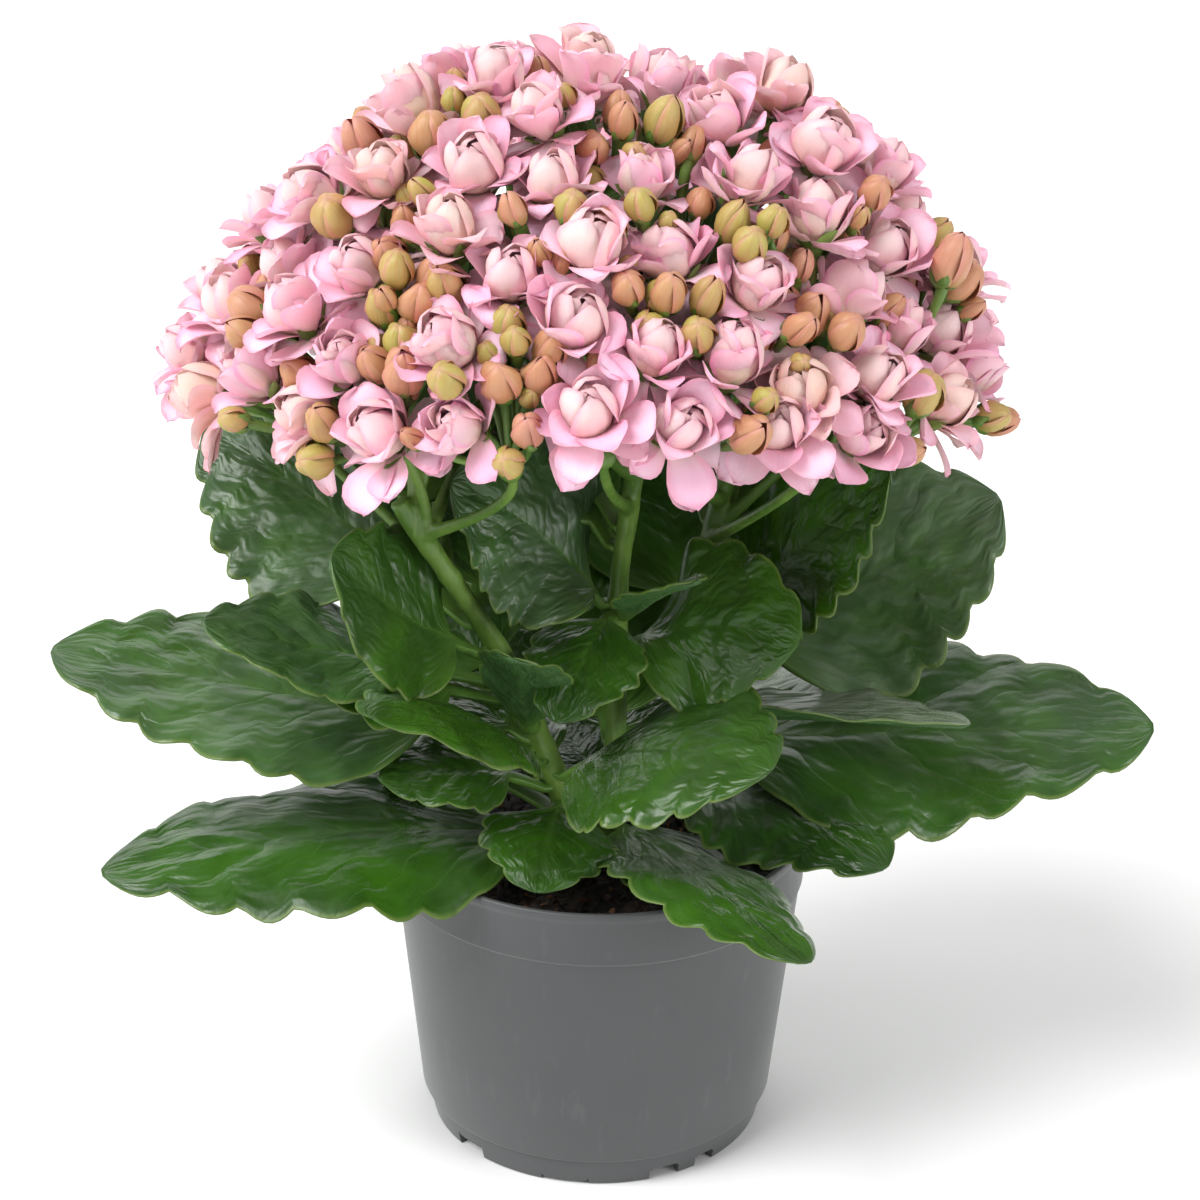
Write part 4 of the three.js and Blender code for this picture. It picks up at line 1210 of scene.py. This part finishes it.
def stand_heads():
    heads = []
    for _, _, _, crown, blooms, buds, first_turn in CYMES:
        top, axis, _ = cyme_stand(crown)
        side, up = across(axis)
        count = blooms + buds
        for k in range(count):
            blooming = math.ceil((k + 1) * blooms / count) > math.ceil(k * blooms / count)
            reach = HEAD["spacing"] * math.sqrt(k)
            turn = math.radians(first_turn) + k * GOLDEN_ANGLE
            place = top + side * reach * math.cos(turn) + up * reach * math.sin(turn)
            heads.append(Head(top, place, blooming))
    draw = draws(HEAD["seed"])
    for head in heads:
        head.shell = shell_of(head.top) * (1 - HEAD["sunk"] * next(draw))
        head.lowest = SKIRT["height"] + SKIRT["uneven"] * (2 * next(draw) - 1)
        head.spin = next(draw)
    places = np.array([head.place for head in heads])
    rooms = np.array([head.room for head in heads])
    for _ in range(HEAD["rounds"]):
        for i in range(len(heads) - 1):
            far = np.linalg.norm(places[i + 1:] - places[i], axis=1) - rooms[i + 1:] - rooms[i]
            for j in np.nonzero(far < HEAD["margin"])[0] + i + 1:
                apart = places[j] - places[i]
                distance = math.sqrt(apart @ apart)
                short = rooms[i] + rooms[j] - distance
                if short > 0:
                    shift = apart * (HEAD["push"] * short / distance)
                    places[i] -= shift
                    places[j] += shift
        for k, head in enumerate(heads):
            places[k] = DOME_MIDDLE + (places[k] - DOME_MIDDLE) * head.shell / shell_of(places[k])
            places[k][2] = max(places[k][2], head.lowest + SKIRT["slope"] * places[k][1])
    stands = [(row[0], *cyme_stand(row[3])) for row in CYMES]
    for head, place in zip(heads, places):
        head.place = place
        name, top, _, hub = min(stands, key=lambda stand: np.linalg.norm(stand[1] - place))
        head.cyme, head.hub = name, hub
        head.axis = unit(unit(place - AIM) + (place - top) * HEAD["lean"])
    return heads


def size_buds(heads):
    """Each bud's size, drawn in the order in which the solids are made."""
    for seed, row in enumerate(CYMES, start=1):
        draw = draws(seed)
        for head in heads:
            if head.cyme != row[0]:
                continue
            if head.blooming:
                for _ in range(HEAD["bloom_draws"]):
                    next(draw)
            else:
                head.size = HEAD["smallest_bud"] + (1 - HEAD["smallest_bud"]) * next(draw)


def low_blooms():
    """Blooms that hang at the foot of the dome, over the branches."""
    low = []
    for turn, (name, place) in enumerate(LOW_BLOOMS):
        top, _, hub = cyme_stand(next(row[3] for row in CYMES if row[0] == name))
        head = Head(top, np.array(place, float), True)
        head.cyme, head.hub = name, hub
        head.axis = unit(unit(head.place - AIM) - np.array((0, 0, HANG)))
        head.shell = shell_of(head.place)
        head.spin = (turn * 0.37) % 1
        low.append(head)
    return low


# Petals, buds and sepals

def petal_mesh(name, tier, length, width, foot, height, leans, cup, twist=0.0, ruffle=0.0,
               thickness=0.45, steps=(8, 5), point=1.7, broad=0.62, base=0.34):
    """A petal: a thin sheet on a spine that leans from upright to hanging, cupped about it."""
    rows, cols = steps
    t = 1 - (1 - np.linspace(0, 1, rows + 1)) ** 1.6
    v = np.linspace(-1, 1, cols + 1)
    lean = np.radians(np.interp(t, np.linspace(0, 1, len(leans)), leans))
    step = length * np.diff(t)
    reach = foot + np.concatenate([[0], np.cumsum(step * np.cos((lean[1:] + lean[:-1]) / 2))])
    rise = height + np.concatenate([[0], np.cumsum(step * np.sin((lean[1:] + lean[:-1]) / 2))])
    swell = base + (1 - base) * smooth(t, 0, broad) ** 0.8
    taper = np.clip(1 - ((t - broad) / (1 - broad)).clip(0) ** 2.1, 0, 1) ** (1 / point)
    half = 0.5 * width * swell * taper
    bow = np.radians(cup) * (0.55 + 0.45 * t)
    top = []
    for k in range(rows + 1):
        tangent = np.array((math.cos(lean[k]), 0.0, math.sin(lean[k])))
        inner = np.array((-math.sin(lean[k]), 0.0, math.cos(lean[k])))
        lateral = np.array((0.0, 1.0, 0.0))
        turned = math.radians(twist) * smooth(t[k], 0.1, 0.5)
        lateral, inner = (lateral * math.cos(turned) + inner * math.sin(turned),
                          inner * math.cos(turned) - lateral * math.sin(turned))
        spine = np.array((reach[k], 0.0, rise[k]))
        wave = ruffle * t[k] ** 2 * np.sin(2.3 * v * math.pi + tier) * np.abs(v) ** 1.5
        pull = 0.8 * ruffle * smooth(t[k], 0.75, 1.0)
        bent = half[k] / bow[k]
        for w, lifted in zip(v, wave):
            aside = lateral * bent * math.sin(bow[k] * w)
            upward = inner * (bent * (1 - math.cos(bow[k] * w)) + lifted)
            top.append(spine + aside + upward - tangent * pull * w * w)
    top = np.array(top).reshape(rows + 1, cols + 1, 3)
    skin = np.cross(np.gradient(top, axis=0), np.gradient(top, axis=1))
    skin = skin / np.maximum(np.linalg.norm(skin, axis=2, keepdims=True), 1e-9)
    plump = thickness * (1 - v[None, :] ** 2) * np.minimum(1, 6 * (1 - t[:, None]))
    bottom = top - skin * plump[..., None]

    across_row = cols + 1
    corners = [r * across_row + c for r in range(rows) for c in range(cols)]
    faces = [(a, a + across_row, a + across_row + 1, a + 1) for a in corners]
    below = (rows + 1) * across_row
    faces += [tuple(k + below for k in face[::-1]) for face in faces]
    faces += [(c, c + 1, c + 1 + below, c + below) for c in range(cols)]
    points = np.concatenate([top.reshape(-1, 3), bottom.reshape(-1, 3)])
    edge = np.tile(np.tile(np.abs(v) > 0.999, rows + 1), 2)
    lower = np.repeat([0.0, 1.0], below)
    mesh = sheet_mesh(
        name, points, faces, along=np.tile(np.repeat(t, across_row), 2),
        aside=np.tile(np.tile(v, rows + 1), 2), under=np.where(edge, 0.0, lower),
        tier=np.full(len(points), float(tier)))
    return weld(mesh, LEAF_WELD)


def petal_forms(tier, foot, height, *shapes):
    """Forms of petal in one tier: length, width, lean at even steps, cup, ruffle and twist of each."""
    keys = ("length", "width", "leans", "cup", "ruffle", "twist")
    return [dict(zip(keys, shape), tier=tier, foot=foot, height=height) for shape in shapes]


# Each tier of a head: how many petals, and the forms that they are picked from
HEART = {
    "tier": 0, "length": 14.2, "width": 10.6, "foot": 1.0, "height": -2.2,
    "leans": (5, 44, 80, 92, 106, 124, 142), "cup": 60, "twist": 13, "point": 1.25, "broad": 0.52,
}
CORE = {
    "tier": 0, "length": 12.4, "width": 9.0, "foot": 0.7, "height": -1.6,
    "leans": (5, 46, 84, 96, 112, 132, 152), "cup": 62, "twist": 18, "point": 1.3, "broad": 0.54,
    "steps": (6, 4),
}
SEPAL = {
    "tier": 5, "length": 7.0, "width": 3.4, "foot": 1.4, "height": -5.2, "leans": (35, 62, 50, 40),
    "cup": 30, "steps": (5, 4), "point": 1.15, "broad": 0.35, "base": 0.7,
}
CALYX = {
    "tier": 5, "length": 6.2, "width": 3.6, "foot": 1.0, "height": -5.6, "leans": (10, 50, 82, 88),
    "cup": 40, "steps": (5, 4), "point": 1.1, "broad": 0.3, "base": 0.8,
}
BUD_PETAL = {"tier": 0, "foot": 0.5, "cup": 70, "twist": 14, "thickness": 0.7, "steps": (9, 6)}
BLOOM = {
    "heart": (4, [HEART]),
    "core": (4, [CORE]),
    "inner": (4, petal_forms(
        1, 1.5, -2.6,
        (12.6, 10.2, (40, 64, 56, 30, 0), 36, 0.7, 0),
        (12.2, 9.6, (36, 58, 70, 66, 40), 44, 0.5, 0),
        (12.8, 9.8, (34, 46, 34, 6, -26), 24, 0.9, 0))),
    "middle": (5, petal_forms(
        2, 1.8, -3.0,
        (13.8, 10.0, (24, 30, 16, -8, -30), 26, 0.8, 0),
        (13.2, 9.4, (24, 38, 40, 26, 4), 40, 0.6, 0),
        (14.0, 9.8, (18, 16, 4, -8, -14), 14, 1.0, 9))),
    "outer": (6, petal_forms(
        3, 1.8, -3.6,
        (13.6, 9.6, (8, 2, -12, -30, -44), 16, 0.9, 0),
        (13.4, 9.0, (6, 8, 6, -4, -22), 26, 0.9, -8))),
    "sepal": (4, [SEPAL]),
}
SNUG = {
    "heart": (4, [{**HEART, "length": 15.6, "width": 11.6, "foot": 1.1, "twist": 9, "point": 1.15,
                   "cup": 52}]),
    "core": (4, [{**CORE, "length": 13.6, "width": 10.2}]),
    "inner": (4, [
        *petal_forms(1, 1.4, -2.8, (13.6, 11.0, (30, 62, 80, 70, 44), 46, 0.5, 0)),
        *petal_forms(1, 1.5, -2.8, (13.0, 10.4, (36, 60, 52, 24, -8), 30, 0.8, 0))]),
    "middle": (5, BLOOM["middle"][1]),
    "outer": (4, BLOOM["outer"][1]),
    "sepal": (4, [SEPAL]),
}
HALF_OPEN = {
    "heart": (4, [{**HEART, "length": 12.8, "width": 9.6, "twist": 20, "cup": 58,
                   "leans": (8, 50, 82, 92, 98, 104, 96)}]),
    "core": (4, [{**CORE, "length": 11.2, "width": 7.6, "foot": 0.4, "twist": 24}]),
    "inner": (4, petal_forms(
        1, 1.4, -3.0,
        (13.0, 11.0, (30, 62, 82, 84, 66), 50, 0.5, 8),
        (12.4, 10.2, (34, 62, 64, 44, 14), 40, 0.7, 0))),
    "middle": (4, petal_forms(
        2, 1.6, -3.6,
        (12.6, 9.8, (24, 44, 50, 34, 6), 36, 0.7, 0),
        (12.8, 9.4, (20, 28, 18, -6, -30), 24, 0.9, 0))),
    "sepal": (4, [SEPAL]),
}
CLOSED_BUD = {
    "heart": (4, [{**BUD_PETAL, "length": 14.0, "width": 9.8, "height": -5.0, "point": 1.3, "broad": 0.46,
                   "leans": (5, 45, 80, 95, 115, 140, 162)}]),
    "sepal": (4, [CALYX]),
}
LONG_BUD = {
    "heart": (4, [{**BUD_PETAL, "length": 15.6, "width": 9.0, "height": -5.2, "point": 1.2, "broad": 0.44,
                   "leans": (10, 52, 84, 92, 105, 126, 146)}]),
    "sepal": (4, [CALYX]),
}
PITH = {"sides": 8, "rows": 6, "wide": 0.31, "low": 0.08, "high": 0.66}


def pith_mesh(heart):
    """The closed middle that shows between the tips of the innermost petals."""
    wide = PITH["wide"] * heart["width"]
    low, high = (heart["height"] + PITH[end] * heart["length"] for end in ("low", "high"))
    share = np.linspace(0.02, 0.98, PITH["rows"])
    rings = [(wide * math.sin(math.pi * row), low + (high - low) * row) for row in share]
    points = revolved(rings, PITH["sides"])
    count = len(points)
    return sheet_mesh(
        "pith", points, loft(PITH["rows"], PITH["sides"]), along=np.repeat(share, PITH["sides"]),
        aside=np.full(count, 0.5), under=np.zeros(count), tier=np.full(count, 0.6))


def head_recipe(name, tiers):
    """Tiers of petals wound about an axis, each a little different from the next."""

    def arrange(t, put):
        grown = []
        for k, label in enumerate(tiers):
            count = put[f"{label} count"]
            seed = put["seed"] + 17 * k
            loose = put["looseness"] * (LOOSE["held"] if label in ("heart", "core", "pith") else 1.0)
            index = t.node("GeometryNodeInputIndex")
            turn = (index / count + TIER_TURN * k) * (2 * math.pi) + t.chance(*LOOSE["turn"], seed) * loose
            pitch = t.chance(*LOOSE["pitch"], seed + 1) * loose
            roll = t.chance(*LOOSE["roll"], seed + 2) * loose
            sockets = {
                "Points": t.node("GeometryNodePoints", None, {"Count": count}),
                "Instance": t.set_of(put[label]), "Pick Instance": True,
                "Instance Index": t.pick(seed + 5),
                "Rotation": t.node("FunctionNodeEulerToRotation", None, {0: t.vector(roll, pitch, turn)}),
                "Scale": 1 + t.chance(*LOOSE["size"], seed + 3) * loose,
            }
            tier = t.node("GeometryNodeInstanceOnPoints", None, sockets)
            tier = t.note(tier, "shade", t.chance(0, 1, seed + 4))
            grown.append(t.finished(tier, put["green"] if label == "sepal" else put["petal"]))
        return t.joined(grown)

    inputs = {"seed": "count", "looseness": "number", "petal": "finish", "green": "finish"}
    for label in tiers:
        inputs[label] = "set"
        inputs[f"{label} count"] = "count"
    return Recipe(name, inputs, arrange)


def head_meshes(name, tiers, variants, cover, looseness):
    """Heads that differ in their petals' lean, turn and number."""
    pieces = {}
    for label, (_, forms) in tiers.items():
        pieces[label] = helper_set(label, [petal_mesh(label, **form) for form in forms])
    pieces["pith"] = helper_set("pith", [pith_mesh(tiers["heart"][1][0])])
    tiers = {**tiers, "pith": (1, [])}
    recipe = head_recipe(name, tiers)
    made = []
    for variant in range(variants):
        counts = {f"{label}_count": count for label, (count, _) in tiers.items()}
        if "inner_count" in counts:
            counts["inner_count"] += variant % 2
        empty = bpy.data.meshes.new("empty")
        made.append(recipe.make(
            f"{name}_{variant}", empty, seed=31 * variant + 2, looseness=looseness,
            petal=cover, green=STALK, **pieces, **counts))
    for group in pieces.values():
        clear_set(group)
    return made


def cyme_growth(t, put):
    """Blooms and buds stood on their stalks about a hub."""
    carrier = put["Geometry"]
    axis = t.number("axis", "FLOAT_VECTOR")
    facing = t.node("FunctionNodeAlignRotationToVector", {"axis": "Z"}, {"Vector": axis})
    spin = t.node("FunctionNodeAxisAngleToRotation", None, {0: (0, 0, 1), 1: t.number("spin")})
    turned = t.node("FunctionNodeRotateRotation", {"rotation_space": "LOCAL"}, {0: facing, 1: spin})
    kind = t.number("kind")
    grown = []
    for label, code in KINDS.items():
        sockets = {
            "Points": carrier, "Selection": kind.maths("COMPARE", kind, float(code), 0.1),
            "Instance": t.set_of(put[label]), "Pick Instance": True,
            "Instance Index": t.number("pick", "INT"), "Rotation": turned, "Scale": t.number("size"),
        }
        grown.append(t.node("GeometryNodeInstanceOnPoints", None, sockets))
    ways = t.node("GeometryNodeMeshToCurve", None, {0: carrier})
    sockets = {"Resolution": put["stalk sides"], "Radius": put["stalk radius"]}
    circle = t.node("GeometryNodeCurvePrimitiveCircle", None, sockets)
    sockets = {"Curve": ways, "Profile Curve": circle, "Scale": t.number("thick"), "Fill Caps": True}
    stalks = t.node("GeometryNodeCurveToMesh", None, sockets)
    stalks = t.node("GeometryNodeSetMaterial", None, {"Geometry": stalks, "Material": put["green"]})
    return t.node("GeometryNodeRealizeInstances", None, {0: t.joined([*grown, stalks])})


class Carrier:
    """Points for the heads and paths for the stalks of one cyme."""

    def __init__(self):
        self.points = []
        self.edges = []
        self.numbers = {key: [] for key in ("kind", "axis", "spin", "size", "pick", "tone", "head", "thick")}

    def put(self, point, kind=0, facing=(0, 0, 1), spin=0.0, size=1.0, pick=0, tone=0.5, head=-1, thick=1.0):
        self.points.append(point)
        for values, value in zip(self.numbers.values(), (kind, facing, spin, size, pick, tone, head, thick)):
            values.append(value)

    def path(self, stations, thicks):
        first = len(self.points)
        for station, thick in zip(stations, thicks):
            self.put(station, thick=thick)
        self.edges.extend((k, k + 1) for k in range(first, len(self.points) - 1))

    def stalk(self, place, facing, neck, hub, end_thick):
        """A stalk from the hub that bends up into the foot of a head."""
        foot = place - facing * neck
        bend = foot - facing * PEDICEL["bend"] * np.linalg.norm(foot - hub)
        t = np.linspace(0, 1, 7)[:, None]
        self.path(bezier(hub, bend, foot, t), (*PEDICEL["thicks"], end_thick))

    def mesh(self, name):
        whole = ("pick", "head")
        numbers = {key: np.array(held, int if key in whole else float) for key, held in self.numbers.items()}
        return sheet_mesh(name, np.array(self.points), [], self.edges, **numbers)


def grow_head(carrier, number, head, draw):
    """A bloom or a bud on its stalk. Returns the two directions across its axis."""
    side, up = across(head.axis)
    turn = 2 * math.pi * next(draw)
    nod = NOD["bloom" if head.blooming else "bud"] * next(draw)
    facing = unit(head.axis + nod * (side * math.cos(turn) + up * math.sin(turn)))
    pick = int(next(draw) * len(BLOOM_PICKS))
    if head.blooming:
        pick = BLOOM_PICKS[pick]
        size = BLOOM_SIZE[0] + BLOOM_SIZE[1] * next(draw)
        rise, neck, end_thick = 0.0, NECK["bloom"], PEDICEL["under_bloom"]
    else:
        pick = pick % BUD_FORMS
        size = BUD_SWELL * head.size
        rise, neck, end_thick = BUD_RISE, NECK["bud"] * size, PEDICEL["under_bud"]
    tone = next(draw)
    place = head.place + head.axis * rise
    place[2] = min(place[2], TOP_OF_BUDS)
    kind = KINDS["blooms" if head.blooming else "buds"]
    carrier.put(place, kind, facing, head.spin * 2 * math.pi, size, pick, tone, number)
    carrier.stalk(place, facing, neck, head.hub, end_thick)
    return side, up


def grow_side_buds(carrier, head, side, up, draw):
    """Small buds that stand beside a head."""
    likely = SIDE_BUDS["by_bloom" if head.blooming else "by_bud"]
    rise = SIDE_BUDS["rise"] * (1 if head.blooming else -1)
    for _ in range(SIDE_BUDS["most"]):
        turn = 2 * math.pi * next(draw)
        size = SIDE_BUDS["small"] + (SIDE_BUDS["large"] - SIDE_BUDS["small"]) * next(draw)
        reach = head.room * SIDE_BUDS["reach"] + SIDE_BUDS["room"] * size
        form, shown = next(draw), next(draw)
        if shown > likely:
            continue
        way = side * math.cos(turn) + up * math.sin(turn)
        spot = head.place + way * reach + head.axis * rise
        spot[2] = min(spot[2], TOP_OF_BUDS)
        facing = unit(head.axis + SIDE_BUDS["lean"] * way)
        carrier.put(spot, KINDS["buds"], facing, turn, size, int(form * BUD_FORMS), SIDE_BUDS["tone"] * form)
        carrier.stalk(spot, facing, NECK["bud"] * size, head.hub, PEDICEL["under_side_bud"])


def cyme_carrier(name, crown, own, draw):
    carrier = Carrier()
    _, axis, hub = cyme_stand(crown)
    carrier.path([hub + axis * h for h in (-HEAD["hub"], *KNOB["heights"])], KNOB["thicks"])
    for number, head in own:
        side, up = grow_head(carrier, number, head, draw)
        grow_side_buds(carrier, head, side, up, draw)
    return carrier.mesh(name)


def settle(mesh, own, heads):
    """Petals that would run through a neighbouring head give way: over it, under it and sideways."""
    count = len(mesh.vertices)
    spots = np.empty(count * 3)
    mesh.vertices.foreach_get("co", spots)
    spots = spots.reshape(-1, 3) / MM
    owner = np.empty(count, np.int32)
    mesh.attributes["head"].data.foreach_get("value", owner)
    for number, head in own:
        mine = owner == number
        cloud = spots[mine]
        rise = (cloud - head.place) @ head.axis
        for other in heads:
            away = other.place - head.place
            distance = np.linalg.norm(away)
            if other is head or distance > HEAD["sight"]:
                continue
            away = away / distance
            wall = (distance ** 2 + head.room ** 2 - other.room ** 2) / (2 * distance)
            past = np.maximum(0, (cloud - head.place) @ away - wall)
            give = GIVE["bloom" if other.blooming else "bud"]
            kept = give * (1 - np.exp(-past / give))
            cloud = cloud - np.outer(past - kept, away)
            if head.shell > other.shell:
                tilt = TILT["over"] * smooth(rise, *TILT["over_from"])
            else:
                tilt = TILT["under"] * (1 - smooth(rise, *TILT["under_to"]))
            cloud = cloud + np.outer(np.minimum(past, TILT["most"]) * tilt, head.axis)
        spots[mine] = cloud

    # Nothing leaves the solids' box
    for side, sign in ((0, -1), (1, 1)):
        limit = np.array(cad_box[side]) / MM * sign - EASE
        past = np.maximum(0, spots * sign - limit)
        spots = spots - sign * (past - EASE * (1 - np.exp(-past / EASE)))
    mesh.vertices.foreach_set("co", (spots * MM).ravel())
    mesh.update()


heads = stand_heads()
size_buds(heads)
heads += low_blooms()
bloom_set = helper_set("bloom", [
    *head_meshes("double_bloom", BLOOM, 4, PETAL, 1.0), *head_meshes("half_open", HALF_OPEN, 2, PETAL, 0.9),
    *head_meshes("snug_bloom", SNUG, 3, PETAL, 1.0)])
bud_set = helper_set("bud", [
    *head_meshes("round_bud", CLOSED_BUD, 2, BUD, 0.7), *head_meshes("long_bud", LONG_BUD, 2, BUD, 0.7)])
cyme_recipe = Recipe("cyme", {
    "blooms": "set", "buds": "set", "stalk radius": "number", "stalk sides": "count", "green": "finish",
}, cyme_growth)
tone_draw = draws(HEAD["tone_seed"])
for cyme_name, _, _, cyme_crown, *_ in CYMES:
    own_heads = [(k, head) for k, head in enumerate(heads) if head.cyme == cyme_name]
    carrier_mesh = cyme_carrier(f"carrier_{cyme_name}", cyme_crown, own_heads, tone_draw)
    grown_mesh = cyme_recipe.make(
        f"flowers_{cyme_name}", carrier_mesh, blooms=bloom_set, buds=bud_set,
        stalk_radius=PEDICEL["radius"] * MM, stalk_sides=PEDICEL["sides"], green=STALK)
    settle(grown_mesh, own_heads, heads)
    flowers = stand_up(f"flowers_{cyme_name}", grown_mesh, SHARP["flowers"])
    hand_over(flowers, "flower", f"cyme_{cyme_name}")
clear_set(bloom_set)
clear_set(bud_set)


# Floor, light and camera

WINDOW = {"energy": 2.5, "angle": 32, "from": (-0.75, -0.55, 1.2)}
# Soft lights: place, aim, size, power
LAMPS = {
    "left": ((-1.2, -0.35, 0.7), (0, 0, 0.12), 0.8, 7),
    "right": ((1.05, -0.75, 0.5), (0.05, 0, 0.13), 0.6, 6),
    "back": ((-0.2, 1.3, 0.95), (0, 0, 0.16), 1.8, 11),
}
STUDIO = 0.55
PAINT = ((0.86, 0.86, 0.86), (0.88, 0.88, 0.88))
FLOOR_HALF = 4.0
CAMERA = {"place": (-0.0004, -0.586, 0.380), "pitch": 67.7, "roll": 0.71, "lens": 78.0, "sensor": 36.0}


def pale_paint(t):
    cloud = t.noise(t.place(), 3).step(0.3, 0.7)
    return {"Base Color": t.blend(cloud, *PAINT)}


def pale_floor():
    mesh = bpy.data.meshes.new("floor")
    corners = [(x * FLOOR_HALF, y * FLOOR_HALF, 0) for x, y in ((-1, -1), (1, -1), (1, 1), (-1, 1))]
    mesh.from_pydata(corners, [], [(0, 1, 2, 3)])
    mesh.materials.append(finish("pale_floor", pale_paint, Roughness=0.7))
    floor = placed("floor", mesh)


def shine(name, light, place, aim=(0, 0, 0)):
    """A light at a place, turned to its aim."""
    lamp = placed(name, light)
    lamp.location = place
    lamp.rotation_euler = (Vector(place) - Vector(aim)).to_track_quat("Z", "Y").to_euler()


pale_floor()
sun = bpy.data.lights.new("window", "SUN")
sun.energy = WINDOW["energy"]
sun.angle = math.radians(WINDOW["angle"])
shine("window", sun, WINDOW["from"])
for lamp_name, (lamp_place, lamp_aim, lamp_size, lamp_power) in LAMPS.items():
    glow = bpy.data.lights.new(lamp_name, "AREA")
    glow.shape = "DISK"
    glow.size = lamp_size
    glow.energy = lamp_power
    shine(lamp_name, glow, lamp_place, lamp_aim)

world = bpy.data.worlds.new("studio")
world.use_nodes = True
world.node_tree.nodes["Background"].inputs["Color"].default_value = (1, 1, 1, 1)
world.node_tree.nodes["Background"].inputs["Strength"].default_value = STUDIO
bpy.context.scene.world = world
bpy.context.scene.view_settings.view_transform = "Standard"

lens = bpy.data.cameras.new("camera")
lens.sensor_width = CAMERA["sensor"]
lens.lens = CAMERA["lens"]
camera = placed("camera", lens)
pitch = Matrix.Rotation(math.radians(CAMERA["pitch"]), 4, "X")
roll = Matrix.Rotation(math.radians(CAMERA["roll"]), 4, "Z")
camera.matrix_world = Matrix.Translation(CAMERA["place"]) @ pitch @ roll
bpy.context.scene.camera = camera
